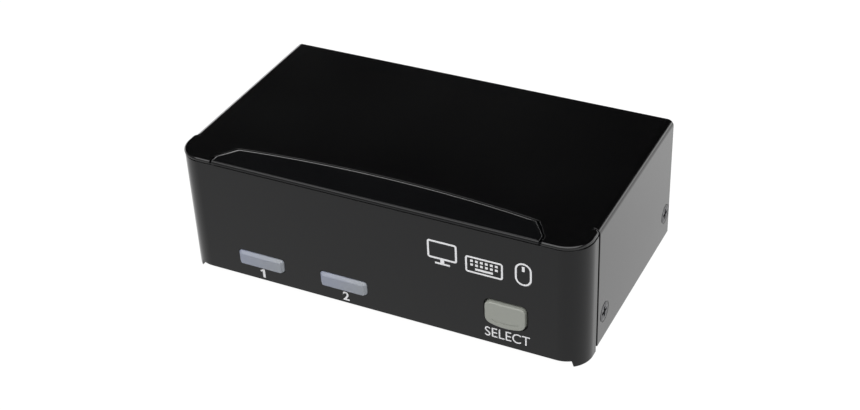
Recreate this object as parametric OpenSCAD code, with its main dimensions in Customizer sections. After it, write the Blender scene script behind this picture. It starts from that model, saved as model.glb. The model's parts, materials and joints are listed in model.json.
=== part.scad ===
// Desktop switch that shares one keyboard, mouse and monitor between two computers.
// Pieces are drawn in case coordinates: x = 0 on the centre line, y = 0 at the seam
// behind the bezel and positive to the rear, z = 0 at the underside of the steel.
// placed() moves them to the part's frame, whose origin lies under the middle of the
// whole object, on the surface that its rubber feet stand on.

/* [Steel case] */
// Width over the sides of the cover
case_w = 130; // [130:0.5:134]
// Depth of the cover behind the bezel seam
case_d = 62.1; // [62:0.1:64]
// Height of the case without its feet
case_h = 40.7; // [40.5:0.1:43]
// Thickness of the steel sheet
sheet_t = 1; // [0.8:0.1:1]
// Outer radius of the cover's two long bends
bend_r = 2; // [1.5:0.1:2.5]

/* [Bezel] */
// Depth of the bezel in front of the seam
bezel_d = 10.9; // [10.5:0.1:13]
// Radius of its two upright corners
bezel_r = 8; // [5:0.5:9]
// Wall thickness of the moulding
bezel_wall = 2; // [1.5:0.1:2.2]
// Height of its long lower edge above the underside of the steel
bezel_lift = 1.05; // [1:0.05:1.5]
// How far its corners reach below the underside of the steel
bezel_drop = 1; // [0:0.1:1.2]
// How far the cover's top stands out over the bezel
cover_lip = 0.4; // [0.1:0.1:0.6]
// Half width of the raised tab at the front
tab_front = 51.8; // [48:0.1:54]
// Half width of the raised tab at its back edge
tab_back = 47.6; // [44:0.1:50]
// Radius of the tab's bowed back edge
tab_bow = 360; // [200:10:600]
// Height of the tab above the cover
tab_rise = 0.5; // [0:0.1:0.8]
// Slot between the tab and the cover
tab_gap = 0.7; // [0.4:0.1:1]

/* [Port windows and button] */
// Width of a port window
lens_w = 15.6; // [12:0.1:17]
// Height of a port window
lens_h = 4.5; // [4:0.1:5]
// Centre of the window for computer 1
lens_1_x = -38.3; // [-40:0.1:-36]
// Centre of the window for computer 2
lens_2_x = -10.2; // [-12:0.1:-8]
// Height of the window centres
lens_z = 8.25; // [8:0.05:8.4]
// Width of the select button
button_w = 12.4; // [11:0.1:13]
// Height of the select button
button_h = 8.2; // [7.5:0.1:9]
// Radius of the button's two upper corners
button_r = 1.6; // [1:0.1:2]
// Radius of its two lower corners
button_low_r = 2.4; // [2:0.1:3]
// Radius of its bowed lower edge
button_bow = 16; // [12:1:30]
// Centre of the button across the case
button_x = 41.8; // [38:0.1:43]
// Height of the button centre
button_z = 12.2; // [12:0.1:12.5]
// How far windows and button stand proud of the bezel
front_proud = 1; // [0.8:0.1:1.5]
// Travel of the button
button_travel = 0.6; // [0.3:0.1:0.7]

/* [Boards] */
// Thickness of both circuit boards
board_t = 1.6; // [1.2:0.1:1.6]
// Height of the studs under the main board
stud_h = 3; // [2.5:0.1:3]
// Height of the hex spacers between the boards
spacer_h = 16; // [16:0.1:16.5]

/* [Rear sockets] */
// Distance between the two jack screws of a monitor socket
jack_pitch = 24.99; // [24.8:0.01:25.2]
// Radius of the threaded hole in a jack screw
jack_bore_r = 1.42; // [1.3:0.01:1.5]
// How far the monitor sockets stand out behind the case
rear_proud = 5; // [4.8:0.1:5.5]
// Centre of the keyboard and mouse socket pair
pair_x = 30; // [29:0.5:31]
// Centre of the power socket
power_x = 53; // [52:0.5:54]

/* [Feet] */
// Height of the rubber feet
foot_h = 1.6; // [1.2:0.1:2.5]
// Diameter of the rubber feet
foot_d = 10; // [8:0.5:12]

/* [Hidden] */
$fn = 32;

// Part frame
seam_y = (bezel_d + front_proud - case_d - rear_proud) / 2;
half_w = case_w / 2;
seam_gap = 0.5;
fit = 0.1;

// Case
tray_half = half_w - sheet_t - fit;
tray_top = case_h - sheet_t - fit;
wall_y = 0.6;
panel_y = case_d - sheet_t;
flange_h = 13;
screw_y = [5.6, 58.4];
screw_z = 9;
screw_r = 1.5;
screw_l = 5;
screw_head_r = 2.95;
screw_head_h = 1.45;
slip = 0.05;
foot_inset = 8;
foot_centre_x = half_w - 15;

// Bezel
bezel_top = case_h - sheet_t - fit;
shelf_t = 1.6;
foot_x = 61.2;
hook_x = 57;
hook_z = [12, 27];
hook_h = 5;
hook_t = 1.6;
tab_bend = 8.4;
tab_back_y = 0.5;
ear_r = 1.5;

// Boards
main_z = sheet_t + stud_h;
main_top = main_z + board_t;
video_z = main_top + spacer_h;
video_top = video_z + board_t;
board_half = 61;
main_front = 2.4;
video_front = 31;
board_back = case_d - sheet_t - 0.5;
post_x = 57;
front_post_y = 8;
rear_post_y = 38;
m3_r = 1.5;
m3_clear_r = 1.7;

// Select switch
stem_z = main_top + 4;
stem = 3;
switch_front = 2.6;
switch_back = 6.6;
plunger_tip = -1.4;
plunger_end = 4;
plunger_r = 1.75;
dome_r = 2.3;
dome_back = 5.8;

// Monitor sockets: centre, D shape and contact rows
video_x = [36, -2, -40];
video_centre_z = video_top + 6.3;
d_w = 16.3;
d_h = 7.9;
d_slant = 10;
d_r = 2.2;
video_flange = [30.8, 12.5];
shell_t = 0.4;
contact_pitch = 2.29;
contact_row = 1.98;
contact_r = 0.3;
contact_hole_r = 0.5;
video_block_y = 51.2;
leg_row = 2;
hex_af = 5;
jack_shank_r = 1.38;
jack_clear_r = 1.7;
leg_tail = 0.25;

// Computer sockets, square pattern
usb_x = [-2, -40];
usb_shell = [12, 11, 16.2];
usb_mouth = [8.45, 7.78];
usb_tongue = [5.6, 3.2];
usb_proud = 0.3;
usb_z = main_top + 5.6;

// Keyboard and mouse socket pair
pair_shell = [14.4, 15.6, 17.4];
pair_mouth = [12.5, 5.12];
pair_tongue = [11.1, 1.84];
pair_z = [main_top + 3.9, main_top + 11.5];

// Power socket
power_z = main_top + 6.5;
power_bore_r = 3.15;
power_pin_r = 1;

// Header between the boards
header_y = 36;
header_pins_n = 10;
header_pitch = 2.54;
header_pin = 0.64;
header_split = main_top + 7.4;

// ---------- helpers ----------

function arc(cx, cy, r, from, to, n = 8) =
  [for (i = [0:n]) let (a = from + (to - from) * i / n) [cx + r * cos(a), cy + r * sin(a)]];

function round_rect(w, h, r) = concat(
  arc(w / 2 - r, h / 2 - r, r, 0, 90), arc(r - w / 2, h / 2 - r, r, 90, 180),
  arc(r - w / 2, r - h / 2, r, 180, 270), arc(w / 2 - r, r - h / 2, r, 270, 360));

module placed() translate([0, seam_y, foot_h]) children();

module slab(low, high) translate(low) cube(high - low);

// Draws a flat (x, z) outline as a bar from y0 to y1
module along_y(y0, y1) translate([0, y1, 0]) rotate([90, 0, 0]) linear_extrude(y1 - y0) children();

// Draws a flat (y, z) outline as a bar from x0 to x1
module along_x(x0, x1) translate([x0, 0, 0]) rotate([90, 0, 90]) linear_extrude(x1 - x0) children();

module rod_y(y0, y1, r) translate([0, y1, 0]) rotate([90, 0, 0]) cylinder(h = y1 - y0, r = r);

module box_y(size, y0, y1) slab([-size.x / 2, y0, -size.y / 2], [size.x / 2, y1, size.y / 2]);

module hex_z(af, h) cylinder(h = h, r = af / sqrt(3), $fn = 6);

module at_each(points) for (p = points) translate(p) children();

module both_sides() {
  children();
  mirror([1, 0, 0]) children();
}

// ---------- steel case ----------

module case_screw_places() for (y = screw_y) translate([half_w, y, screw_z]) rotate([0, -90, 0])
  children();

module lid_profile() {
  bend_x = half_w - bend_r;
  bend_z = case_h - bend_r;
  polygon(concat(
    [[-half_w, 0]], arc(-bend_x, bend_z, bend_r, 180, 90), arc(bend_x, bend_z, bend_r, 90, 0),
    [[half_w, 0], [half_w - sheet_t, 0]], arc(bend_x, bend_z, bend_r - sheet_t, 0, 90),
    arc(-bend_x, bend_z, bend_r - sheet_t, 90, 180), [[sheet_t - half_w, 0]]));
}

module tongue_outline() {
  front = bezel_d + cover_lip;
  reach = half_w - fit;
  neck = half_w - bend_r;
  ear_x = reach - ear_r;
  ear_y = -seam_gap - ear_r;
  polygon(concat(
    [[-neck, 1], [-neck, -seam_gap]], arc(-ear_x, ear_y, ear_r, 90, 180, 4),
    arc(bezel_r - reach, bezel_r - front, bezel_r, 180, 270),
    arc(reach - bezel_r, bezel_r - front, bezel_r, 270, 360),
    arc(ear_x, ear_y, ear_r, 0, 90, 4), [[neck, -seam_gap], [neck, 1]]));
}

module tab_outline(grow, front) {
  a = tab_front + grow;
  bow = tab_bow + grow;
  spread = asin((tab_back + grow) / bow);
  polygon(concat([[a, -front], [a, -tab_bend]],
                 arc(0, tab_back_y + grow - bow, bow, 90 - spread, 90 + spread, 16),
                 [[-a, -tab_bend], [-a, -front]]));
}

module screw_cut(clear) {
  cylinder(h = screw_head_h + clear, r1 = screw_head_r + clear, r2 = screw_r);
  translate([0, 0, -1]) cylinder(h = 1, r = screw_head_r + clear);
  cylinder(h = 8, r = screw_r + clear);
}

module lid() color("#141516") placed() difference() {
  union() {
    along_y(seam_gap, case_d) lid_profile();
    translate([0, 0, case_h - sheet_t]) linear_extrude(sheet_t) tongue_outline();
  }
  translate([0, 0, case_h - 2 * sheet_t]) linear_extrude(3 * sheet_t)
    tab_outline(tab_gap, bezel_d + 2 * bezel_wall);
  both_sides() case_screw_places() screw_cut(slip);
}

module tray_profile() {
  r = 1.5;
  in = r - sheet_t;
  polygon(concat(
    [[wall_y, tray_top]], arc(wall_y + r, r, r, 180, 270), arc(case_d - r, r, r, 270, 360),
    [[case_d, tray_top], [panel_y, tray_top]],
    arc(case_d - r, r, in, 360, 270), arc(wall_y + r, r, in, 270, 180),
    [[wall_y + sheet_t, tray_top]]));
}

module tray_front_openings() {
  for (x = [lens_1_x, lens_2_x]) slab([x - 4, 0, 5], [x + 4, 3, 12]);
  slab([button_x - 4, 0, 5], [button_x + 4, 3, 15]);
  both_sides() for (z = hook_z) slab([hook_x - 2, 0, z], [hook_x + 2, 3, z + hook_h + 1]);
}

module tray_rear_openings() {
  gap = 0.3;
  for (x = video_x) translate([x, panel_y - 1, video_centre_z]) {
    along_y(0, 3) polygon(round_rect(d_w + 2 * gap, d_h + 2 * gap, 1.5));
    both_sides() translate([jack_pitch / 2, 0, 0]) rod_y(0, 3, jack_clear_r);
  }
  for (x = usb_x) translate([x, 0, usb_z])
    box_y([usb_shell.x + gap, usb_shell.y + gap], panel_y - 1, case_d + 1);
  slab([pair_x - pair_shell.x / 2 - gap, panel_y - 1, main_top - 0.1],
       [pair_x + pair_shell.x / 2 + gap, case_d + 1, main_top + pair_shell.y + gap]);
  translate([power_x, 0, power_z]) rod_y(panel_y - 1, case_d + 1, 4.1);
}

module base_tray() color("#2a2b2d") placed() difference() {
  union() {
    along_x(-tray_half, tray_half) tray_profile();
    slab([1 - foot_x, 2 - bezel_d, 0], [foot_x - 1, 2.5, sheet_t]);
    both_sides() {
      slab([tray_half - sheet_t, 2.5, 0], [tray_half, case_d - 1.6, flange_h]);
      for (y = screw_y) translate([tray_half - 2.2, y, screw_z]) rotate([0, 90, 0])
        cylinder(h = 2, r = 2.6);
    }
  }
  tray_front_openings();
  tray_rear_openings();
  both_sides() case_screw_places() screw_cut(slip);
  at_each(post_points) translate([0, 0, -1]) cylinder(h = 3, r = 2.1);
}

module case_screws() color("#1b1c1e") placed() both_sides() case_screw_places() difference() {
  union() {
    cylinder(h = screw_head_h, r1 = screw_head_r, r2 = screw_r);
    cylinder(h = screw_l, r = screw_r);
  }
  cross_recess(3.4, 0.75, 1);
}

module cross_recess(length, width, depth) translate([0, 0, depth / 2 - 0.1]) {
  cube([length, width, depth + 0.2], center = true);
  cube([width, length, depth + 0.2], center = true);
}

module rubber_feet() color("#202020") placed()
  both_sides() for (y = [foot_inset, case_d - foot_inset]) translate([foot_centre_x, y, -foot_h])
    cylinder(h = foot_h, r1 = foot_d / 2 - 0.4, r2 = foot_d / 2);

// ---------- bezel, windows and button ----------

module bezel_outline(inset, back) {
  w = half_w - inset;
  r = bezel_r - inset;
  front = bezel_d - inset;
  polygon(concat([[-w, back]], arc(r - w, r - front, r, 180, 270, 12),
                 arc(w - r, r - front, r, 270, 360, 12), [[w, back]]));
}

module hook() {
  slab([0, -3, 0], [hook_t, 3.4, hook_h]);
  slab([0, wall_y + sheet_t + 0.1, 0], [hook_t + 0.8, 3.4, hook_h]);
}

module front_bezel() color("#2f3133") placed() difference() {
  union() {
    difference() {
      translate([0, 0, -bezel_drop]) linear_extrude(bezel_top + bezel_drop)
        bezel_outline(0, -seam_gap);
      translate([0, 0, bezel_lift + shelf_t]) linear_extrude(bezel_top - bezel_lift - 2 * shelf_t)
        bezel_outline(bezel_wall, 1);
    }
    translate([0, 0, bezel_top - shelf_t]) linear_extrude(shelf_t + fit + sheet_t + tab_rise)
      tab_outline(0, bezel_d);
    both_sides() for (z = hook_z) translate([hook_x - 1, 0, z + 0.5]) hook();
    both_sides() for (z = hook_z) slab([hook_x - 1, 1 - bezel_d, z], [hook_x + 1, -3, z + 6]);
    button_guide();
  }
  along_y(-bezel_d - 1, 1) polygon([
    [-foot_x - 0.6, -bezel_drop - 0.5], [-foot_x, bezel_lift],
    [foot_x, bezel_lift], [foot_x + 0.6, -bezel_drop - 0.5]]);
  for (x = [lens_1_x, lens_2_x]) translate([x, 0, lens_z])
    box_y([lens_w + 0.2, lens_h + 0.2], -bezel_d - 1, 1 - bezel_d + bezel_wall);
  translate([button_x, 0, button_z]) along_y(-bezel_d - 1, 1 - bezel_d + bezel_wall)
    polygon(button_outline(0.3));
}

// Outline of the button, grown all round
function button_outline(grow) =
  let (w = button_w / 2 + grow, h = button_h / 2 + grow, r = button_r + grow,
       low_r = button_low_r + grow, bow = button_bow + grow,
       spread = asin((w - low_r) / (bow - low_r)),
       low_z = bow - h - (bow - low_r) * cos(spread))
  concat(arc(w - r, h - r, r, 0, 90), arc(r - w, h - r, r, 90, 180),
         arc(low_r - w, low_z, low_r, 180, 270 - spread),
         arc(0, bow - h, bow, 272 - spread, 268 + spread),
         arc(w - low_r, low_z, low_r, 270 + spread, 360));

// Collar behind the wall that the button's flange slides in
module button_guide() translate([button_x, 0, button_z]) difference() {
  box_y([button_w + 4.6, button_h + 4.2], 1 - bezel_d, 5.2 - bezel_d);
  box_y([button_w + 2.6, button_h + 2.2], -bezel_d, 6 - bezel_d);
}

module port_lens(x) color("#8f959f") placed() translate([x, 0, lens_z]) {
  cut = 0.8;
  back = bezel_wall - bezel_d;
  intersection() {
    linear_extrude(lens_h, center = true) polygon([
      [-lens_w / 2, back], [-lens_w / 2, -bezel_d], [cut - lens_w / 2, -bezel_d - front_proud],
      [lens_w / 2 - cut, -bezel_d - front_proud], [lens_w / 2, -bezel_d], [lens_w / 2, back]]);
    along_x(-lens_w / 2, lens_w / 2) polygon([
      [back, -lens_h / 2], [-bezel_d, -lens_h / 2], [-bezel_d - front_proud, cut / 2 - lens_h / 2],
      [-bezel_d - front_proud, lens_h / 2 - cut], [-bezel_d, lens_h / 2], [back, lens_h / 2]]);
  }
  box_y([lens_w + 1.6, lens_h + 1.6], back, back + 1);
  box_y([5, 4], back, -1.6);
}

module port_lens_1() port_lens(lens_1_x);

module port_lens_2() port_lens(lens_2_x);

module select_button() color("#96988c") placed() translate([button_x, 0, button_z]) {
  back = bezel_wall - bezel_d + 0.15;
  along_y(-bezel_d - front_proud, back) polygon(button_outline(0));
  box_y([button_w + 2.4, button_h + 2], back, back + 1.2);
  translate([0, 0, stem_z - button_z]) box_y([stem, stem], back, plunger_tip);
}

// ---------- select switch ----------

module switch_body() color("#1d1d1f") placed() translate([button_x, 0, 0]) difference() {
  slab([-3, switch_front, main_top], [3, switch_back, stem_z + 3]);
  translate([0, 0, stem_z]) {
    rod_y(switch_front - 1, dome_back - 0.4, plunger_r + slip);
    rod_y(plunger_end + button_travel, dome_back, dome_r + slip);
  }
  for (x = [-2.25, 2.25]) slab([x - 0.4, 4.4, main_top - 1], [x + 0.4, 5.2, main_top + 1.2]);
}

module switch_plunger() color("#141414") placed() translate([button_x, 0, stem_z])
  rod_y(plunger_tip, plunger_end, plunger_r);

module switch_dome() color("silver") placed() translate([button_x, 0, stem_z])
  rod_y(dome_back - 0.3, dome_back, dome_r);

module switch_legs() color("silver") placed() for (x = [-2.25, 2.25])
  slab([button_x + x - 0.3, 4.5, main_z - 1.2], [button_x + x + 0.3, 5.1, main_top + 1.1]);

// ---------- boards and their fixings ----------

front_posts = [[-post_x, front_post_y, 0], [post_x, front_post_y, 0]];
rear_posts = [[-post_x, rear_post_y, 0], [post_x, rear_post_y, 0]];
post_points = concat(front_posts, rear_posts);

module video_pin_places() for (row = [-1:1], i = [-2:2])
  translate([i * contact_pitch + (row == 0 ? 0.57 : -0.57), 0, row * contact_row]) children();

module video_leg_holes() for (x = video_x, row = [-1:1], i = [-2:2])
  translate([x + i * contact_pitch + (row == 0 ? 0.57 : -0.57), leg_y(row), video_z - 1])
    cylinder(h = board_t + 2, r = contact_hole_r);

function leg_y(row) = video_block_y - 1.4 - leg_row * (row + 1);

module header_places() for (i = [0:header_pins_n - 1], side = [-1, 1])
  translate([(i - (header_pins_n - 1) / 2) * header_pitch, header_y + side * header_pitch / 2, 0])
    children();

module video_board() color("#1f5a38") placed() difference() {
  slab([-board_half, video_front, video_z], [board_half, board_back, video_top]);
  at_each(rear_posts) translate([0, 0, video_z - 1]) cylinder(h = board_t + 2, r = m3_clear_r);
  video_leg_holes();
  header_places() slab([-0.5, -0.5, video_z - 1], [0.5, 0.5, video_top + 1]);
}

module main_board() color("#1f5a38") placed() difference() {
  slab([-board_half, main_front, main_z], [board_half, board_back, main_top]);
  at_each(post_points) translate([0, 0, main_z - 1]) cylinder(h = board_t + 2, r = m3_clear_r);
  for (x = [-2.25, 2.25])
    slab([button_x + x - 0.4, 4.4, main_z - 1], [button_x + x + 0.4, 5.2, main_top + 1]);
  for (x = [lens_1_x, lens_2_x], side = [-1, 1]) translate([x + side * led_pitch / 2, led_leg_y, main_z - 1])
    cylinder(h = board_t + 2, r = 0.45);
  header_places() slab([-0.5, -0.5, main_z - 1], [0.5, 0.5, main_top + 1]);
  for (x = [buzzer_x - 3.25, buzzer_x + 3.25]) translate([x, buzzer_y, main_z - 1])
    cylinder(h = board_t + 2, r = 0.5);
}

module tray_studs() color("silver") placed() at_each(post_points) difference() {
  union() {
    cylinder(h = sheet_t, r = 2.1);
    translate([0, 0, sheet_t]) cylinder(h = stud_h, r = 3);
  }
  translate([0, 0, -1]) cylinder(h = stud_h + sheet_t + 2, r = m3_r + 0.02);
}

module board_spacers() color("#c9a54a") placed() at_each(rear_posts) difference() {
  union() {
    translate([0, 0, main_top]) hex_z(5.5, spacer_h);
    translate([0, 0, main_top - 4.6]) cylinder(h = 5, r = m3_r);
  }
  translate([0, 0, video_z - 7]) cylinder(h = 8, r = m3_r + 0.02);
}

module pan_screw(length) difference() {
  union() {
    cylinder(h = 2, r1 = 2.9, r2 = 2.3);
    translate([0, 0, -length]) cylinder(h = length, r = m3_r);
  }
  translate([0, 0, 1.1]) cross_recess(3.2, 0.7, 1);
}

module board_screws() color("silver") placed() {
  at_each(front_posts) translate([0, 0, main_top]) pan_screw(4.5);
  at_each(rear_posts) translate([0, 0, video_top]) pan_screw(6);
}

// ---------- monitor sockets ----------

// D outline of a monitor socket, its long side on top, shrunk all round by inset
module d_outline(inset) {
  w = d_w / 2 - inset;
  h = d_h / 2 - inset;
  r = d_r - inset;
  lean = (2 * h - 2 * r) * tan(d_slant);
  polygon(concat(
    arc(w - r, h - r, r, -d_slant, 90), arc(r - w, h - r, r, 90, 180 + d_slant),
    arc(r - w + lean, r - h, r, 180 + d_slant, 270), arc(w - r - lean, r - h, r, 270, 360 - d_slant)));
}

module video_shell(x) color("#c4c6c8") placed() translate([x, 0, video_centre_z]) difference() {
  union() {
    box_y(video_flange, panel_y - 0.8, panel_y);
    along_y(panel_y - 0.8, case_d + rear_proud) d_outline(0);
  }
  along_y(panel_y - 2, case_d + rear_proud + 1) d_outline(shell_t);
  both_sides() translate([jack_pitch / 2, 0, 0]) rod_y(panel_y - 2, panel_y + 1, jack_clear_r);
}

module video_insert(x) color("#23479a") placed() translate([x, 0, video_centre_z]) difference() {
  union() {
    along_y(panel_y - 1, case_d + rear_proud - 0.3) d_outline(shell_t + 0.05);
    box_y([video_flange.x, 12.5], video_block_y, panel_y - 0.8);
  }
  video_pin_places() {
    rod_y(video_block_y - 1, case_d, contact_r + 0.02);
    rod_y(panel_y, case_d + rear_proud + 1, contact_hole_r);
  }
  both_sides() translate([jack_pitch / 2, 0, 0])
    rod_y(video_block_y + 2.5, case_d, jack_clear_r);
}

module video_contacts(x) color("#d2b25a") placed() for (row = [-1:1], i = [-2:2]) {
  px = x + i * contact_pitch + (row == 0 ? 0.57 : -0.57);
  pz = video_centre_z + row * contact_row;
  translate([px, 0, pz]) rod_y(leg_y(row), case_d + 2, contact_r);
  translate([px, leg_y(row), video_z - leg_tail]) cylinder(h = pz - video_z + leg_tail, r = contact_r);
  translate([px, leg_y(row), pz]) sphere(r = contact_r);
}

module monitor_socket_shell() video_shell(video_x[0]);

module monitor_socket_insert() video_insert(video_x[0]);

module monitor_socket_contacts() video_contacts(video_x[0]);

module computer_1_video_shell() video_shell(video_x[2]);

module computer_1_video_insert() video_insert(video_x[2]);

module computer_1_video_contacts() video_contacts(video_x[2]);

module computer_2_video_shell() video_shell(video_x[1]);

module computer_2_video_insert() video_insert(video_x[1]);

module computer_2_video_contacts() video_contacts(video_x[1]);

module jack_screws() color("#c8cacc") placed() for (x = video_x) translate([x, 0, video_centre_z])
  for (side = [-1, 1]) translate([side * jack_pitch / 2, 0, 0]) difference() {
    union() {
      translate([0, case_d, 0]) rotate([-90, 0, 0]) hex_z(hex_af, rear_proud - 0.2);
      rod_y(video_block_y + 3, case_d, jack_shank_r);
    }
    rod_y(case_d + 0.3, case_d + rear_proud + 1, jack_bore_r);
  }

// ---------- computer sockets ----------

usb_front = case_d + usb_proud;

module usb_mouth_outline() {
  c = 1.6;
  w = usb_mouth.x / 2;
  h = usb_mouth.y / 2;
  polygon([[-w, -h], [w, -h], [w, h - c], [w - c, h], [c - w, h], [-w, h - c]]);
}

module usb_shell_piece(x) color("#c4c6c8") placed() translate([x, 0, usb_z]) difference() {
  box_y([usb_shell.x, usb_shell.y], usb_front - usb_shell.z, usb_front);
  box_y([usb_shell.x - 2 * shell_t, usb_shell.y - 2 * shell_t], usb_front - usb_shell.z - 1,
        usb_front - shell_t);
  box_y([usb_mouth.x + 1, usb_mouth.y + 1], usb_front - 2, usb_front + 1);
}

module usb_insert_piece(x) color("#d9dadb") placed() translate([x, 0, usb_z]) {
  deep = 10.5;
  difference() {
    union() {
      box_y([usb_shell.x - 2 * shell_t - fit, usb_shell.y - 2 * shell_t - fit],
            usb_front - usb_shell.z + 0.2, usb_front - shell_t);
      box_y([usb_mouth.x + 1 - fit, usb_mouth.y + 1 - fit], usb_front - 2, usb_front);
    }
    along_y(usb_front - deep, usb_front + 1) usb_mouth_outline();
    for (side = [-1, 1], level = [-1, 1]) usb_contact_slot(side, level, 0.1);
  }
  difference() {
    box_y(usb_tongue, usb_front - deep - 1, usb_front - 1.2);
    for (side = [-1, 1], level = [-1, 1]) usb_contact_slot(side, level, 0.1);
  }
}

module usb_contact_slot(side, level, clear) {
  z = level * usb_tongue.y / 2;
  slab([side * 1.25 - 0.5 - clear, usb_front - 14.5 - clear, z - 0.2 - clear],
       [side * 1.25 + 0.5 + clear, usb_front - 2 + clear, z + 0.2 + clear]);
}

module usb_contact_set(x) color("#d2b25a") placed() translate([x, 0, usb_z])
  for (side = [-1, 1], level = [-1, 1]) usb_contact_slot(side, level, 0);

module computer_1_usb_shell() usb_shell_piece(usb_x[1]);

module computer_1_usb_insert() usb_insert_piece(usb_x[1]);

module computer_1_usb_contacts() usb_contact_set(usb_x[1]);

module computer_2_usb_shell() usb_shell_piece(usb_x[0]);

module computer_2_usb_insert() usb_insert_piece(usb_x[0]);

module computer_2_usb_contacts() usb_contact_set(usb_x[0]);

// ---------- keyboard and mouse sockets ----------

module keyboard_mouse_shell() color("#c4c6c8") placed() translate([pair_x, 0, 0]) difference() {
  slab([-pair_shell.x / 2, usb_front - pair_shell.z, main_top],
       [pair_shell.x / 2, usb_front, main_top + pair_shell.y]);
  slab([shell_t - pair_shell.x / 2, usb_front - pair_shell.z - 1, main_top + shell_t],
       [pair_shell.x / 2 - shell_t, usb_front - shell_t, main_top + pair_shell.y - shell_t]);
  for (z = pair_z) translate([0, 0, z]) box_y(pair_mouth, usb_front - 2, usb_front + 1);
}

module pair_contact(i, clear) {
  x = (i - 1.5) * (i == 1 || i == 2 ? 2 : 2.33);
  z = pair_mouth.y / 2 - pair_tongue.y - 0.55;
  slab([x - 0.5 - clear, usb_front - 14 - clear, z - 0.15 - clear],
       [x + 0.5 + clear, usb_front - 1.8 + clear, z + 0.15 + clear]);
}

module keyboard_mouse_insert() color("#e4e4e2") placed() translate([pair_x, 0, 0]) difference() {
  union() {
    slab([shell_t + 0.05 - pair_shell.x / 2, usb_front - pair_shell.z + 0.3, main_top + shell_t + 0.05],
         [pair_shell.x / 2 - shell_t - 0.05, usb_front - 9, main_top + pair_shell.y - shell_t - 0.05]);
    for (z = pair_z) translate([0, 0, z + pair_mouth.y / 2 - pair_tongue.y / 2 - 0.55])
      box_y(pair_tongue, usb_front - 10, usb_front - 0.8);
    slab([1 - pair_shell.x / 2, usb_front - 10, pair_z[0] + pair_mouth.y / 2 + 0.1],
         [pair_shell.x / 2 - 1, usb_front - shell_t - 0.1, pair_z[1] - pair_mouth.y / 2 - 0.1]);
  }
  for (z = pair_z, i = [0:3]) translate([0, 0, z]) pair_contact(i, 0.05);
}

module keyboard_mouse_contacts() color("#d2b25a") placed()
  for (z = pair_z, i = [0:3]) translate([pair_x, 0, z]) pair_contact(i, 0);

// ---------- power socket ----------

module power_jack_body() color("#18191a") placed() difference() {
  union() {
    slab([power_x - 4.5, 47.6, main_top], [power_x + 4.5, panel_y - 0.1, main_top + 11]);
    translate([power_x, 0, power_z]) rod_y(panel_y - 1, case_d + 0.3, 3.95);
  }
  translate([power_x, 0, power_z]) {
    rod_y(51, case_d + 1, power_bore_r);
    rod_y(47, 52, power_pin_r + 0.02);
  }
  slab([power_x - 1.3, 47, power_z - power_bore_r - 0.6], [power_x + 1.3, 60, power_z - 2]);
}

module power_jack_pin() color("silver") placed() translate([power_x, 0, power_z])
  rod_y(46.8, 60.6, power_pin_r);

module power_jack_spring() color("silver") placed() {
  slab([power_x - 1.2, 46.8, power_z - power_bore_r - 0.5],
       [power_x + 1.2, 59.5, power_z - power_bore_r - 0.1]);
  slab([power_x - 1.2, 46.8, main_top], [power_x + 1.2, 47.2, power_z - power_bore_r - 0.1]);
}

// ---------- parts on the boards ----------

led_pitch = 2.54;
led_leg_y = 6;
led_z = lens_z;
buzzer_x = 8;
buzzer_y = 16;
controller_at = [-22, 22];
hub_at = [12, 50];
crystal_at = [-38, 26];
capacitor_points = [[42.5, 44, 4, 10], [30, 22, 3.15, 7], [-46, 40, 3.15, 7]];
regulator_at = [46, 30];
switch_chip_x = [-32, -17, 17];

module led(x) color("#9fd48a") placed() translate([x, 0, led_z]) {
  rod_y(0.5, 4, 1.5);
  translate([0, 0.5, 0]) sphere(r = 1.5);
  rod_y(3.2, 4.2, 1.9);
}

module led_1() led(lens_1_x);

module led_2() led(lens_2_x);

module led_leads() color("silver") placed() for (x = [lens_1_x, lens_2_x], side = [-1, 1])
  translate([x + side * led_pitch / 2, 0, 0]) {
    translate([0, 0, led_z]) rod_y(4.2, led_leg_y, 0.25);
    translate([0, led_leg_y, main_z - 1.2]) cylinder(h = led_z - main_z + 1.2, r = 0.25);
    translate([0, led_leg_y, led_z]) sphere(r = 0.25);
  }

module buzzer() color("#161616") placed() translate([buzzer_x, buzzer_y, 0]) {
  difference() {
    translate([0, 0, main_top]) cylinder(h = 8.6, r = 6);
    translate([0, 0, main_top + 1]) cylinder(h = 9, r = 5.3);
  }
  for (x = [-3.25, 3.25]) translate([x, 0, main_z - 1.2]) cylinder(h = board_t + 1.3, r = 0.35);
}

module buzzer_cap() color("#202022") placed() translate([buzzer_x, buzzer_y, main_top + 8.6])
  difference() {
    cylinder(h = 0.9, r = 6);
    translate([0, 0, -1]) cylinder(h = 3, r = 1.2);
  }

// One bent leg on the +x side of a chip, its foot on the board at z = 0
module gull_leg(width, reach) translate([0, -width / 2, 0]) rotate([90, 0, 0]) mirror([0, 0, 1])
  linear_extrude(width) polygon([
    [0, 0.9], [reach - 0.75, 0.9], [reach - 0.55, 0.2], [reach, 0.2], [reach, 0],
    [reach - 0.7, 0], [reach - 0.9, 0.7], [0, 0.7]]);

module chip_body(size) translate([-size.x / 2, -size.y / 2, 0.15]) cube([size.x, size.y, 1.4]);

module leg_row_of(count, pitch, edge) for (i = [0:count - 1])
  translate([edge, (i - (count - 1) / 2) * pitch, 0]) gull_leg(0.3, 1.1);

module controller_chip() color("#1a1a1c") placed() translate([controller_at.x, controller_at.y, main_top])
  chip_body([10, 10]);

module usb_hub_chip() color("#1a1a1c") placed() translate([hub_at.x, hub_at.y, main_top])
  chip_body([5.3, 10.2]);

module video_switch_chips() color("#1a1a1c") placed() for (x = switch_chip_x)
  translate([x, header_y, video_top]) chip_body([4, 8.6]);

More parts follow.
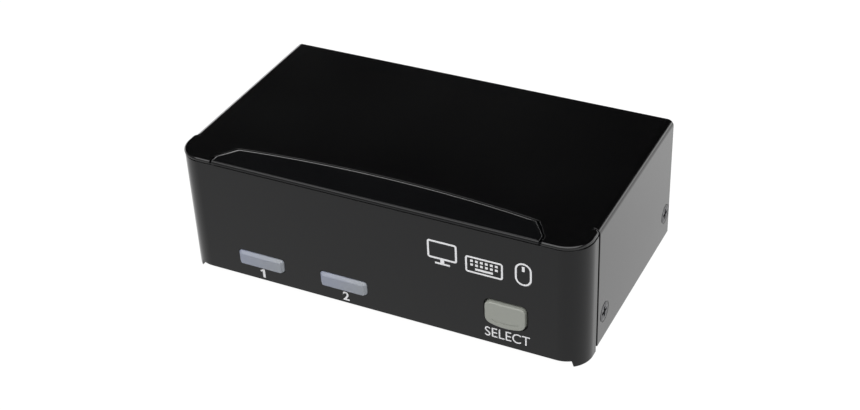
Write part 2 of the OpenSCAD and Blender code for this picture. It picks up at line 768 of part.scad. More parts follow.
module chip_legs() color("silver") placed() {
  translate([controller_at.x, controller_at.y, main_top])
    for (turn = [0:90:270]) rotate(turn) leg_row_of(11, 0.8, 5);
  translate([hub_at.x, hub_at.y, main_top])
    for (turn = [0, 180]) rotate(turn) leg_row_of(14, 0.65, 2.65);
  for (x = switch_chip_x) translate([x, header_y, video_top])
    for (turn = [0, 180]) rotate(turn) leg_row_of(8, 1, 2);
}

module crystal() color("#b9bbbd") placed() translate([crystal_at.x, crystal_at.y, main_top]) {
  linear_extrude(0.5) polygon(round_rect(11.1, 4.6, 2.2));
  translate([0, 0, 0.5]) linear_extrude(3) polygon(round_rect(10.2, 3.7, 1.8));
}

module bulk_capacitors() color("#22262e") placed() for (c = capacitor_points)
  translate([c[0], c[1], main_top]) {
    cylinder(h = 0.6, r = c[2]);
    translate([0, 0, 0.6]) cylinder(h = 0.6, r = c[2] - 0.25);
    translate([0, 0, 1.2]) cylinder(h = c[3] - 1.2, r = c[2]);
  }

module voltage_regulator() color("#1c1c1e") placed()
  translate([regulator_at.x, regulator_at.y, main_top]) {
    translate([-3.3, -3, 0.1]) cube([6.6, 6, 2.2]);
    translate([-2.7, -4.6, 0]) cube([5.4, 2, 0.5]);
    for (x = [-2.3, 2.3]) translate([x - 0.4, 2.5, 0]) cube([0.8, 3, 0.5]);
  }

header_w = header_pins_n * header_pitch;

module board_header() color("#161617") placed() difference() {
  slab([-header_w / 2, header_y - 2.5, main_top], [header_w / 2, header_y + 2.5, header_split - 0.1]);
  header_places() slab([-0.4, -0.4, main_top - 1], [0.4, 0.4, header_split + 1]);
}

module header_pins() color("#d2b25a") placed() header_places() {
  p = header_pin / 2;
  slab([-p, -p, main_z - 1.2], [p, p, header_split + 6]);
  slab([-p, -p, header_split + 6.5], [p, p, video_top + 1.2]);
}

module board_socket() color("#161617") placed() difference() {
  slab([-header_w / 2, header_y - 2.5, header_split], [header_w / 2, header_y + 2.5, video_z]);
  header_places() slab([-0.4, -0.4, header_split - 1], [0.4, 0.4, video_z + 1]);
}

// Row of small board parts: a ceramic body with a metal end on each side
module small_row(start, count, step) for (i = [0:count - 1])
  translate([start.x + i * step, start.y, main_top]) {
    translate([-0.6, -0.4, 0]) cube([1.2, 0.8, 0.5]);
    for (x = [-0.8, 0.6]) translate([x, -0.42, 0]) cube([0.2, 0.84, 0.55]);
  }

module chip_capacitors() color("#b89a72") placed() {
  small_row([-30, 12.5], 6, 2.6);
  small_row([-30, 32], 6, 2.6);
  small_row([36, 20], 5, 2.6);
}

module chip_resistors() color("#303236") placed() {
  small_row([-48, 12.5], 5, 2.6);
  small_row([16, 30], 6, 2.6);
  small_row([-30, 10.2], 6, 2.6);
}

base_tray();
lid();
front_bezel();
port_lens_1();
port_lens_2();
select_button();
switch_body();
switch_plunger();
switch_dome();
switch_legs();
main_board();
video_board();
tray_studs();
board_spacers();
board_screws();
case_screws();
rubber_feet();
jack_screws();
monitor_socket_shell();
monitor_socket_insert();
monitor_socket_contacts();
computer_1_video_shell();
computer_1_video_insert();
computer_1_video_contacts();
computer_2_video_shell();
computer_2_video_insert();
computer_2_video_contacts();
computer_1_usb_shell();
computer_1_usb_insert();
computer_1_usb_contacts();
computer_2_usb_shell();
computer_2_usb_insert();
computer_2_usb_contacts();
keyboard_mouse_shell();
keyboard_mouse_insert();
keyboard_mouse_contacts();
power_jack_body();
power_jack_pin();
power_jack_spring();
led_1();
led_2();
led_leads();
buzzer();
buzzer_cap();
controller_chip();
usb_hub_chip();
video_switch_chips();
chip_legs();
crystal();
bulk_capacitors();
voltage_regulator();
board_header();
header_pins();
board_socket();
chip_capacitors();
chip_resistors();
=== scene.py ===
"""Looks of a two-computer desktop switch box: cover, bezel, windows, button, print and sockets."""
import json
import math

import bmesh
import bpy
from mathutils import Matrix, Vector


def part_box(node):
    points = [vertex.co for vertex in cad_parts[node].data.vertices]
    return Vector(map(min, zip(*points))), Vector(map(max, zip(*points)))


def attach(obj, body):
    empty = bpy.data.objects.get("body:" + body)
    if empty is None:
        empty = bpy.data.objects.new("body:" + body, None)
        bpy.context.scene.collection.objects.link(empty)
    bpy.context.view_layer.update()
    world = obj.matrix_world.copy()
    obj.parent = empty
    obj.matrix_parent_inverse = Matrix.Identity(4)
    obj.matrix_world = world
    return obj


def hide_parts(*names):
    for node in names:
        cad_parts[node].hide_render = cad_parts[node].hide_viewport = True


bl_info = {
    "name": "Desktop switch box",
    "version": (1, 0, 0),
    "blender": (4, 5, 0),
    "location": "3D View > Sidebar > Switch box",
    "description": "Builds the visible pieces and finishes of a desktop switch box",
    "category": "Object",
}

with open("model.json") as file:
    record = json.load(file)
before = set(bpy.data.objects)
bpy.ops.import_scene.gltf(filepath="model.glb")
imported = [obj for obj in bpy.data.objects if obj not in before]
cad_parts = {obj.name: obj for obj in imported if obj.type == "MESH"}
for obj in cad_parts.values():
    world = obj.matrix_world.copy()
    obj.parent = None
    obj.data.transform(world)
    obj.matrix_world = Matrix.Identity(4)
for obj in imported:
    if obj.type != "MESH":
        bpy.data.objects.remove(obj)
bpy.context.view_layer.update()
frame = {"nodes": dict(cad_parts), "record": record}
NODES = frame["nodes"]
CASE = "case"
BUTTON = "button"
MM = 0.001
HAIR = 0.02 * MM
PAST = 1 * MM

COVER_LOW, COVER_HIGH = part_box("lid")
BEZEL_LOW, BEZEL_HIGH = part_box("front_bezel")
CASE_HALF = COVER_HIGH.x
CASE_BACK = COVER_HIGH.y
STEEL_LOW = COVER_LOW.z
FRONT = BEZEL_LOW.y

SCREW_LOW, SCREW_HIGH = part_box("case_screws")
SCREW_HEAD = 2.95 * MM
SCREW_Y = (SCREW_LOW.y + SCREW_HEAD, SCREW_HIGH.y - SCREW_HEAD)
SCREW_Z = (SCREW_LOW.z + SCREW_HIGH.z) / 2
# Radius of the hole and of the rim of a countersink, and its depth.
SINK_HOLE, SINK_RIM, SINK_DEPTH = 1.6 * MM, 3.35 * MM, 1.45 * MM


# ---------------------------------------------------------------------------
# Settings
# ---------------------------------------------------------------------------

def length(name, description, millimetres):
    """A length setting, given in millimetres."""
    return bpy.props.FloatProperty(
        name=name, description=description, default=millimetres * MM,
        min=0.0, unit="LENGTH", precision=5)


def colour(name, description, default):
    """A colour setting."""
    return bpy.props.FloatVectorProperty(
        name=name, description=description, default=default, size=3,
        min=0.0, max=1.0, subtype="COLOR")


class CaseSettings(bpy.types.PropertyGroup):
    """Sizes of the steel cover and the bezel."""

    sheet: length("Sheet", "Thickness of the steel sheet", 1.0)
    bend: length("Bend", "Outer radius of the cover's long bends", 2.0)
    corner: length("Corner", "Radius of the bezel's upright corners", 8.0)
    ear: length("Ear", "Radius of the tongue's two rear corners", 0.8)
    seam: length("Seam", "Distance from the front face to the seam behind the bezel", 10.9)
    seam_gap: length("Seam gap", "Half of the seam's width", 0.5)
    lip: length("Lip", "How far the cover stands out over the bezel", 0.4)
    lip_round: length("Lip rounding", "Radius of the tongue's upper edge", 0.72)
    rebate: length("Rebate", "Depth of the shadow line under the lip", 0.35)
    tab_front: length("Tab front", "Half width of the raised tab at the front", 51.8)
    tab_back: length("Tab back", "Half width of the raised tab at its back edge", 47.6)
    tab_bow: length("Tab bow", "Radius of the tab's bowed back edge", 360.0)
    tab_rise: length("Tab rise", "Height of the tab above the cover", 0.35)
    tab_proud: length("Tab proud", "How far the tab's nose stands out", 0.5)
    groove: length("Groove", "Height of the shadow line under the tab's nose", 0.7)
    tab_gap: length("Tab gap", "Slot between the tab and the cover", 0.7)
    tab_round: length("Tab round", "Radius of the tab's long front edge", 1.05)
    lower_edge: length("Lower edge", "Height of the bezel's lower edge over the steel's", 1.05)
    foot: length("Foot", "Half width between the bezel's two lowered corners", 61.2)
    wall: length("Wall", "Wall thickness of the bezel", 2.0)
    edge: length("Edge", "Rounding of cut sheet and moulded edges", 0.16)


class FrontSettings(bpy.types.PropertyGroup):
    """Sizes of the windows, the button and the print on the front."""

    window_width: length("Window width", "Width of a port window", 15.6)
    window_height: length("Window height", "Height of a port window", 4.5)
    window_corner: length("Window corner", "Radius of a window's corners", 1.0)
    window_slope: length("Window slope", "Sloped margin at a window's ends and top", 0.85)
    button_width: length("Button width", "Width of the button", 12.4)
    button_height: length("Button height", "Height of the button", 8.2)
    button_corner: length("Button corner", "Radius of the button's upper corners", 1.6)
    button_low_corner: length("Button lower corner", "Radius of its lower corners", 2.4)
    button_bow: length("Button bow", "Radius of its bowed lower edge", 16.0)
    crease: length("Crease", "Height of the button's crease over its lower edge", 1.5)
    button_edge: length("Button edge", "Rounding of the button's face", 0.45)
    digit_height: length("Digit height", "Height of the port numbers", 3.1)
    word_width: length("Word width", "Width of the word under the button", 13.85)
    word_height: length("Word height", "Height of the word under the button", 3.3)


class FinishSettings(bpy.types.PropertyGroup):
    """Colours of the finishes."""

    cover: colour("Cover", "Black powder coat of the cover", (0.0008, 0.0008, 0.0009))
    bezel: colour("Bezel", "Black moulding of the bezel", (0.0022, 0.0023, 0.0026))
    button: colour("Button", "Grey of the select button", (0.186, 0.193, 0.172))
    window: colour("Window", "Milky grey of the windows", (0.175, 0.187, 0.222))
    print_ink: colour("Print", "White screen print", (0.52, 0.52, 0.53))
    grain: bpy.props.FloatProperty(
        name="Grain", description="Lumps of powder coat for each metre", default=2600.0)


class StageSettings(bpy.types.PropertyGroup):
    """Camera, lights and floor."""

    lens: bpy.props.FloatProperty(
        name="Lens", description="Focal length of the camera in millimetres", default=64.16)
    azimuth: bpy.props.FloatProperty(
        name="Azimuth", description="Turn of the camera round the object",
        default=math.radians(27.484), subtype="ANGLE")
    elevation: bpy.props.FloatProperty(
        name="Elevation", description="Height angle of the camera",
        default=math.radians(34.178), subtype="ANGLE")
    roll: bpy.props.FloatProperty(
        name="Roll", description="Lean of the camera", default=math.radians(-2.653),
        subtype="ANGLE")
    place: bpy.props.FloatVectorProperty(
        name="Place", description="Where the camera stands", size=3, subtype="TRANSLATION",
        default=(0.17978, -0.34653, 0.28122))
    key_power: bpy.props.FloatProperty(
        name="Key power", description="Power of the large light overhead in watts", default=26.0)
    band: bpy.props.FloatProperty(
        name="Band", description="Brightness of the low band of light behind", default=3.2)


GROUPS = {
    "switch_case": CaseSettings,
    "switch_front": FrontSettings,
    "switch_finish": FinishSettings,
    "switch_stage": StageSettings,
}


# ---------------------------------------------------------------------------
# Node trees
# ---------------------------------------------------------------------------

class Val:
    """One output socket, which plain arithmetic turns into Math nodes."""

    def __init__(self, tree, out):
        self.tree = tree
        self.out = out

    def math(self, operation, first, second=None):
        """A Math node on the two values."""
        node = self.tree.nodes.new("ShaderNodeMath")
        node.operation = operation
        for socket, value in zip(node.inputs, (first, second)):
            if isinstance(value, Val):
                self.tree.links.new(value.out, socket)
            elif value is not None:
                socket.default_value = value
        return Val(self.tree, node.outputs[0])

    def __add__(self, other):
        return self.math("ADD", self, other)

    def __sub__(self, other):
        return self.math("SUBTRACT", self, other)

    def __rsub__(self, other):
        return self.math("SUBTRACT", other, self)

    def __mul__(self, other):
        return self.math("MULTIPLY", self, other)

    def __truediv__(self, other):
        return self.math("DIVIDE", self, other)

    def __mod__(self, other):
        return self.math("MODULO", self, other)

    def __gt__(self, other):
        return self.math("GREATER_THAN", self, other)

    def floor(self):
        """The whole number below."""
        return self.math("FLOOR", self)

    __radd__ = __add__
    __rmul__ = __mul__


class Tree:
    """A node tree with one method that adds any node."""

    def __init__(self, tree):
        self.tree = tree

    def node(self, kind, settings=None, values=None, out=0):
        """Adds a node: its settings first, then values or links for its sockets."""
        node = self.tree.nodes.new(kind)
        for key, value in (settings or {}).items():
            if key == "stops":
                self.set_stops(node.color_ramp, value)
            else:
                setattr(node, key, value)
        for key, value in (values or {}).items():
            if isinstance(value, Val):
                self.tree.links.new(value.out, node.inputs[key])
            else:
                node.inputs[key].default_value = value
        return Val(self.tree, node.outputs[out]) if len(node.outputs) else None

    @staticmethod
    def set_stops(ramp, stops):
        """Gives a ramp its stops, each a place and a grey or a colour."""
        while len(ramp.elements) < len(stops):
            ramp.elements.new(1.0)
        for element, (place, value) in zip(ramp.elements, stops):
            element.position = place
            element.color = (*value, 1.0) if isinstance(value, tuple) else (value,) * 3 + (1.0,)

    def place(self):
        """The place on the object, in metres."""
        return self.node("ShaderNodeTexCoord", out="Object")

    def axes(self, vector):
        """The three parts of a vector."""
        parts = self.node("ShaderNodeSeparateXYZ", {}, {"Vector": vector}).out.node.outputs
        return [Val(self.tree, out) for out in parts]

    def stretched(self, scale):
        """The place on the object, squeezed or stretched along each axis."""
        return self.node("ShaderNodeMapping", {}, {"Vector": self.place(), "Scale": scale})

    def noise(self, scale, detail=3.0, rough=0.5, vector=None):
        """Soft noise from 0 to 1, its scale in lumps for each metre."""
        return self.node("ShaderNodeTexNoise", {}, {
            "Vector": vector or self.place(), "Scale": scale, "Detail": detail,
            "Roughness": rough})

    def ramp(self, value, stops):
        """Maps a value through a ramp of greys or colours."""
        return self.node("ShaderNodeValToRGB", {"stops": stops}, {"Fac": value})

    def blend(self, factor, first, second):
        """Mixes two colours."""
        pair = {"A": first, "B": second}
        node = self.tree.nodes.new("ShaderNodeMix")
        node.data_type = "RGBA"
        self.tree.links.new(factor.out, node.inputs["Factor"])
        for socket in node.inputs:
            if socket.type == "RGBA" and socket.name in pair:
                value = pair[socket.name]
                if isinstance(value, Val):
                    self.tree.links.new(value.out, socket)
                else:
                    socket.default_value = (*value, 1.0)
        return Val(self.tree, node.outputs[2])

    def bump(self, height, strength, depth):
        """A Bump node, its depth in metres."""
        return self.node("ShaderNodeBump", {}, {
            "Height": height, "Strength": strength, "Distance": depth})


def material(name, build):
    """A material whose Principled sockets are what build(tree) returns."""
    made = bpy.data.materials.new(name)
    made.use_nodes = True
    made.node_tree.nodes.clear()
    tree = Tree(made.node_tree)
    shader = tree.node("ShaderNodeBsdfPrincipled", {}, build(tree))
    tree.node("ShaderNodeOutputMaterial", {}, {"Surface": shader})
    return made


# ---------------------------------------------------------------------------
# Finishes
# ---------------------------------------------------------------------------

def powder_coat(name, base, rough, grain, ior=1.5):
    """Black satin powder coat: fine lumps, and a slow change of gloss."""
    def build(tree):
        lumps = tree.noise(grain, detail=2.0, rough=0.45)
        slow = tree.noise(22.0, detail=2.0)
        tint = tree.blend(slow, tuple(c * 0.8 for c in base), tuple(c * 1.25 for c in base))
        return {
            "Base Color": tint,
            "Roughness": rough + (slow - 0.5) * 0.08 + (lumps - 0.5) * 0.05,
            "Normal": tree.bump(lumps, 0.35, 0.006 * MM),
            "IOR": ior,
        }
    return material(name, build)


def moulding(name, base, rough, grain=5200.0, depth=0.004, ior=1.5):
    """Moulded plastic with a fine sparked grain and slight changes of colour."""
    def build(tree):
        spark = tree.noise(grain, detail=2.0, rough=0.6)
        cloud = tree.noise(45.0, detail=3.0)
        tint = tree.blend(cloud, tuple(c * 0.94 for c in base), tuple(min(1.0, c * 1.06) for c in base))
        return {
            "Base Color": tint,
            "Roughness": rough + (cloud - 0.5) * 0.06 + (spark - 0.5) * 0.06,
            "Normal": tree.bump(spark, 0.4, depth * MM),
            "IOR": ior,
        }
    return material(name, build)


def milky(name, base):
    """Frosted plastic that lets light in, a little bluer at the left end of each window."""
    def build(tree):
        frost = tree.noise(7000.0, detail=2.0)
        (first, _), (second, _) = window_places()
        along = ((tree.axes(tree.place())[0] - (first - 8 * MM)) / (second - first)) % 1.0
        tint = tree.ramp(along, [(0.0, (base[0] * 0.95, base[1] * 0.97, base[2] * 1.05)),
                                 (0.56, (base[0], base[1], base[2] * 0.92))])
        return {
            "Base Color": tint,
            "Roughness": 0.34 + (frost - 0.5) * 0.1,
            "Normal": tree.bump(frost, 0.25, 0.003 * MM),
            "Subsurface Weight": 0.35,
            "Subsurface Radius": (0.0012, 0.0013, 0.0016),
            "Subsurface Scale": 1.0,
            "IOR": 1.5,
        }
    return material(name, build)


def plated(name, base, rough=0.24, streak=(1.0, 1.0, 1.0)):
    """Plated or rolled metal with fine streaks and faint handling marks."""
    def build(tree):
        lines = tree.noise(900.0, detail=4.0, vector=tree.stretched(streak))
        marks = tree.noise(140.0, detail=3.0)
        tint = tree.blend(marks, tuple(c * 0.88 for c in base), base)
        return {
            "Base Color": tint,
            "Metallic": 1.0,
            "Roughness": rough + (lines - 0.5) * 0.16 + (marks - 0.5) * 0.1,
            "Normal": tree.bump(lines, 0.2, 0.004 * MM),
        }
    return material(name, build)


def rubber(name, base):
    """Matt rubber with a dusty skin."""
    def build(tree):
        dust = tree.noise(600.0, detail=4.0)
        tint = tree.blend(dust, base, tuple(c * 1.7 for c in base))
        return {
            "Base Color": tint,
            "Roughness": 0.78 + (dust - 0.5) * 0.2,
            "Normal": tree.bump(dust, 0.5, 0.02 * MM),
        }
    return material(name, build)


def laminate(name, base, copper):
    """Solder mask over tracks: bands of copper show through the green as lighter lines."""
    def build(tree):
        across = tree.node("ShaderNodeTexWave", {"bands_direction": "X"}, {
            "Vector": tree.place(), "Scale": 210.0, "Distortion": 3.0, "Detail": 1.0,
            "Detail Scale": 0.6})
        cells = tree.node("ShaderNodeTexVoronoi", {"distance": "CHEBYCHEV"}, {
            "Vector": tree.place(), "Scale": 160.0}, out="Distance")
        tracks = (across > 0.8) * (cells > 0.28)
        tint = tree.blend(tracks * 0.55, base, copper)
        return {
            "Base Color": tint,
            "Roughness": 0.32 + tracks * 0.06,
            "Normal": tree.bump(tracks, 0.5, 0.02 * MM),
            "Coat Weight": 0.4,
            "Coat Roughness": 0.15,
        }
    return material(name, build)


def resin(name, base):
    """Clear tinted resin of a lamp."""
    def build(tree):
        swirl = tree.noise(500.0, detail=1.0)
        return {
            "Base Color": tree.blend(swirl, base, tuple(min(1.0, c * 1.1) for c in base)),
            "Roughness": 0.1 + swirl * 0.05,
            "Subsurface Weight": 0.5,
            "Subsurface Radius": (0.001, 0.0015, 0.001),
        }
    return material(name, build)


def make_finishes():
    """One material for each slot of the record, by the slot's name."""
    hues = bpy.context.scene.switch_finish
    cover, bezel = tuple(hues.cover), tuple(hues.bezel)
    return {
        "cover_steel": powder_coat("cover powder coat", cover, 0.17, hues.grain, 1.44),
        "tray_steel": powder_coat("tray powder coat", cover, 0.38, hues.grain),
        "bezel_plastic": moulding("bezel moulding", bezel, 0.15, ior=1.34),
        "window_plastic": milky("milky window", tuple(hues.window)),
        "button_plastic": moulding("button moulding", tuple(hues.button), 0.42, 4200.0, 0.003),
        "black_plastic": moulding("black moulding", (0.012, 0.012, 0.012), 0.45),
        "bright_steel": plated("plated steel", (0.62, 0.61, 0.59)),
        "black_steel": plated("black zinc", (0.05, 0.05, 0.055), 0.35),
        "tinned_copper": plated("tinned copper", (0.68, 0.67, 0.64), 0.3),
        "board_laminate": laminate("green laminate", (0.008, 0.085, 0.03), (0.05, 0.22, 0.06)),
        "spacer_brass": plated("turned brass", (0.66, 0.47, 0.2), 0.22, (1.0, 1.0, 6.0)),
        "foot_rubber": rubber("foot rubber", (0.012, 0.012, 0.012)),
        "blue_plastic": moulding("blue moulding", (0.012, 0.06, 0.36), 0.38),
        "white_plastic": moulding("white moulding", (0.72, 0.71, 0.68), 0.4),
        "contact_gold": plated("gold flash", (0.83, 0.58, 0.22), 0.2),
        "led_resin": resin("lamp resin", (0.42, 0.66, 0.3)),
        "chip_resin": moulding("chip resin", (0.014, 0.014, 0.015), 0.55, 3000.0, 0.01),
        "capacitor_sleeve": moulding("capacitor sleeve", (0.012, 0.016, 0.04), 0.25),
        "ceramic_tan": moulding("ceramic", (0.36, 0.25, 0.14), 0.5),
        "print": moulding("screen print", tuple(hues.print_ink), 0.5, 6000.0, 0.002),
    }


FINISHES = {}
SLOT_OF = {s["node"]: s["material_slot"] for s in frame["record"]["subparts"]}


# ---------------------------------------------------------------------------
# Mesh helpers
# ---------------------------------------------------------------------------

def arc(cx, cy, radius, start, end, steps=16):
    """Points on an arc, its angles in degrees."""
    turns = [math.radians(start + (end - start) * i / steps) for i in range(steps + 1)]
    return [(cx + radius * math.cos(t), cy + radius * math.sin(t)) for t in turns]


def rounded(width, height, radius, steps=10):
    """Outline of a rectangle with round corners, about its own centre."""
    w, h = width / 2 - radius, height / 2 - radius
    return (arc(w, h, radius, 0, 90, steps) + arc(-w, h, radius, 90, 180, steps)
            + arc(-w, -h, radius, 180, 270, steps) + arc(w, -h, radius, 270, 360, steps))


def moved(outline, dx, dy):
    """An outline moved in its plane."""
    return [(x + dx, y + dy) for x, y in outline]


def mirrored(half):
    """A whole outline from its right half, which runs from the middle to the middle."""
    return half + [(-x, y) for x, y in reversed(half)]


PLANES = {
    "x": lambda u, v, w: (w, u, v),
    "y": lambda u, v, w: (u, w, v),
    "z": lambda u, v, w: (u, v, w),
}


def shown(name, data):
    """A new object in the scene with a mesh or other data."""
    piece = bpy.data.objects.new(name, data)
    bpy.context.scene.collection.objects.link(piece)
    return piece


def written(name, data):
    """Writes a bmesh to a new object, and frees the bmesh."""
    mesh = bpy.data.meshes.new(name)
    data.to_mesh(mesh)
    data.free()
    return shown(name, mesh)


def add_object(name, data):
    """Writes a bmesh to a new object, its faces pointing outwards."""
    bmesh.ops.recalc_face_normals(data, faces=data.faces)
    return written(name, data)


def prism(name, outline, low, high, axis="z"):
    """A closed outline drawn out along an axis."""
    data = bmesh.new()
    spot = PLANES[axis]
    rims = [[data.verts.new(spot(u, v, w)) for u, v in outline] for w in (low, high)]
    count = len(outline)
    for rim in rims:
        data.faces.new(rim)
    for i in range(count):
        j = (i + 1) % count
        data.faces.new((rims[0][i], rims[0][j], rims[1][j], rims[1][i]))
    return add_object(name, data)


def stack(name, layers, axis="z"):
    """A closed solid through outlines of equal length, each given as (outline, level)."""
    data = bmesh.new()
    spot = PLANES[axis]
    rims = [[data.verts.new(spot(u, v, w)) for u, v in outline] for outline, w in layers]
    for lower, upper in zip(rims, rims[1:]):
        for i in range(len(lower)):
            j = (i + 1) % len(lower)
            data.faces.new((lower[i], lower[j], upper[j], upper[i]))
    data.faces.new(rims[0])
    data.faces.new(rims[-1])
    return add_object(name, data)


def block(name, low, high):
    """A plain box between two corners, used to cut or to join."""
    outline = [(low[0], low[1]), (high[0], low[1]), (high[0], high[1]), (low[0], high[1])]
    return prism(name, outline, low[2], high[2])


def turned(name, profile, place, axis, steps=48):
    """A solid turned about an axis through place, from (along, radius) points."""
    data = bmesh.new()
    rings = []
    for along, radius in profile:
        if radius < 1e-9:
            rings.append([data.verts.new((0, 0, along))])
        else:
            rings.append([data.verts.new((x, y, along))
                          for x, y in arc(0, 0, radius, 0, 360 - 360 / steps, steps - 1)])
    for lower, upper in zip(rings, rings[1:]):
        for i in range(steps):
            j = (i + 1) % steps
            corners = [lower[i % len(lower)], lower[j % len(lower)],
                       upper[j % len(upper)], upper[i % len(upper)]]
            data.faces.new(list(dict.fromkeys(corners)))
    for ring in (rings[0], rings[-1]):
        if len(ring) > 1:
            data.faces.new(ring)
    turn = Vector((0, 0, 1)).rotation_difference(Vector(axis)).to_matrix().to_4x4()
    bmesh.ops.transform(data, matrix=Matrix.Translation(place) @ turn, verts=data.verts)
    return add_object(name, data)


def bake(piece):
    """Applies a piece's modifiers to its mesh."""
    graph = bpy.context.evaluated_depsgraph_get()
    mesh = bpy.data.meshes.new_from_object(piece.evaluated_get(graph))
    piece.modifiers.clear()
    piece.data = mesh
    return piece


def combine(piece, others, operation):
    """Cuts, joins or intersects a piece with other solids, which are used up."""
    for other in others:
        boolean = piece.modifiers.new("combine", "BOOLEAN")
        boolean.operation = operation
        boolean.solver = "EXACT"
        boolean.object = other
    bake(piece)
    if not piece.data.polygons:
        raise RuntimeError(f"nothing is left of {piece.name}")
    for other in others:
        bpy.data.objects.remove(other)
    return piece


def round_edges(piece, width, segments=3, angle=32):
    """Rounds every edge sharper than an angle in degrees, and evens the shading."""
    bevel = piece.modifiers.new("round", "BEVEL")
    bevel.limit_method = "ANGLE"
    bevel.angle_limit = math.radians(angle)
    bevel.width = width
    bevel.segments = segments
    bevel.use_clamp_overlap = False
    bake(piece)
    return even_shading(piece)


def even_shading(piece):
    """Smooth shading that keeps flat faces flat."""
    for polygon in piece.data.polygons:
        polygon.use_smooth = True
    piece.data.set_sharp_from_angle(angle=math.radians(40))
    weighted = piece.modifiers.new("even", "WEIGHTED_NORMAL")
    weighted.keep_sharp = True
    weighted.weight = 60
    return bake(piece)


def joined(name, pieces):
    """Several pieces as one."""
    data = bmesh.new()
    for piece in pieces:
        data.from_mesh(piece.data)
        bpy.data.objects.remove(piece)
    return written(name, data)


def settle(piece, slot, body=CASE, nodes=()):
    """Gives a finished piece the material of its slot, its body and the nodes it stands for."""
    piece.data.materials.clear()
    piece.data.materials.append(FINISHES[slot])
    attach(piece, body)
    slot in {m["slot"] for m in frame["record"]["materials"]}
    if nodes:
        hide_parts(*nodes)
    return piece


def clean_copy(name, node):
    """A copy of a node's mesh as whole faces, ready to be rounded."""
    data = bmesh.new()
    data.from_mesh(NODES[node].data)
    bmesh.ops.remove_doubles(data, verts=data.verts, dist=0.002 * MM)
    bmesh.ops.dissolve_limit(
        data, angle_limit=math.radians(0.6), verts=data.verts, edges=data.edges)
    return written(name, data)


def with_back(name, front, node, low, high):
    """Joins a rebuilt front to what its node has between two corners behind it."""
    behind = clean_copy("behind", node)
    combine(behind, [block("keep", low, high)], "INTERSECT")
    return joined(name, [front, even_shading(behind)])


def dress(node, width, segments=2, body=CASE):
    """Replaces a node with its own shape, its edges rounded."""
    piece = clean_copy(f"{node}_dressed", node)
    round_edges(piece, width, segments)
    return settle(piece, SLOT_OF[node], body, (node,))


# ---------------------------------------------------------------------------
# Copies in rows
# ---------------------------------------------------------------------------

def copies_tree():
    """Geometry nodes that set copies of a piece in rows and columns."""
    tree = bpy.data.node_groups.new("Rows of copies", "GeometryNodeTree")
    face = tree.interface
    for name, kind in (("Columns", "NodeSocketInt"), ("Rows", "NodeSocketInt"),
                       ("Column step", "NodeSocketVector"), ("Row step", "NodeSocketVector"),
                       ("Odd row shift", "NodeSocketVector"), ("Centre", "NodeSocketVector"),
                       ("Row turn", "NodeSocketFloat"), ("Piece", "NodeSocketObject"),
                       ("Material", "NodeSocketMaterial")):
        face.new_socket(name, in_out="INPUT", socket_type=kind)
    face.new_socket("Geometry", in_out="OUTPUT", socket_type="NodeSocketGeometry")
    t = Tree(tree)
    group = tree.nodes.new("NodeGroupInput")
    given = {socket.name: Val(tree, socket) for socket in group.outputs if socket.name}
    columns, rows = given["Columns"], given["Rows"]
    index = t.node("GeometryNodeInputIndex")
    row = (index / columns).floor()
    column = index - row * columns

    def scaled(vector, factor):
        return t.node("ShaderNodeVectorMath", {"operation": "SCALE"},
                      {"Vector": vector, "Scale": factor})

    def added(first, second):
        return t.node("ShaderNodeVectorMath", {"operation": "ADD"}, {0: first, 1: second})

    along = scaled(given["Column step"], column - (columns - 1) * 0.5)
    across = scaled(given["Row step"], row - (rows - 1) * 0.5)
    shift = scaled(given["Odd row shift"], row % 2)
    place = added(added(along, across), added(shift, given["Centre"]))
    points = t.node("GeometryNodePoints", {}, {"Count": columns * rows, "Position": place})
    turn = t.node("ShaderNodeCombineXYZ", {}, {"Z": row * given["Row turn"]})
    piece = t.node("GeometryNodeObjectInfo", {}, {"Object": given["Piece"]}, out="Geometry")
    copies = t.node("GeometryNodeInstanceOnPoints", {}, {
        "Points": points, "Instance": piece, "Rotation": turn})
    real = t.node("GeometryNodeRealizeInstances", {}, {"Geometry": copies})
    done = t.node("GeometryNodeSetMaterial", {}, {
        "Geometry": real, "Material": given["Material"]})
    out = tree.nodes.new("NodeGroupOutput")
    tree.links.new(done.out, out.inputs[0])
    return tree


def in_rows(name, piece, slot, nodes=(), body=CASE, **values):
    """Sets copies of a piece in rows, and uses the piece up."""
    tree = bpy.data.node_groups.get("Rows of copies") or copies_tree()
    holder = shown(name, bpy.data.meshes.new(name))
    modifier = holder.modifiers.new("rows", "NODES")
    modifier.node_group = tree
    wanted = {"Columns": 1, "Rows": 1, "Piece": piece, "Material": FINISHES[slot], **values}
    for item in tree.interface.items_tree:
        if item.in_out == "INPUT" and item.name in wanted:
            modifier[item.identifier] = wanted[item.name]
    bake(holder)
    bpy.data.objects.remove(piece)
    return settle(holder, slot, body, nodes)


# ---------------------------------------------------------------------------
# Operators
# ---------------------------------------------------------------------------

def case_values():
    """The case settings, and the levels that they share with the frame."""
    case = bpy.context.scene.switch_case
    return case, FRONT + case.seam, COVER_HIGH.z


def tab_outline(case, grow, front):
    """Plan of the raised tab: straight ends at the front and a bowed back edge."""
    seam = FRONT + case.seam
    past_seam, slant = 0.5 * MM, 8.4 * MM
    end, bow = case.tab_front + grow, case.tab_bow + grow
    spread = math.degrees(math.asin((case.tab_back + grow) / bow))
    half = arc(0, seam + past_seam + grow - bow, bow, 90, 90 - spread, 20)
    return mirrored(half + [(end, seam - slant), (end, front)])[:-1]


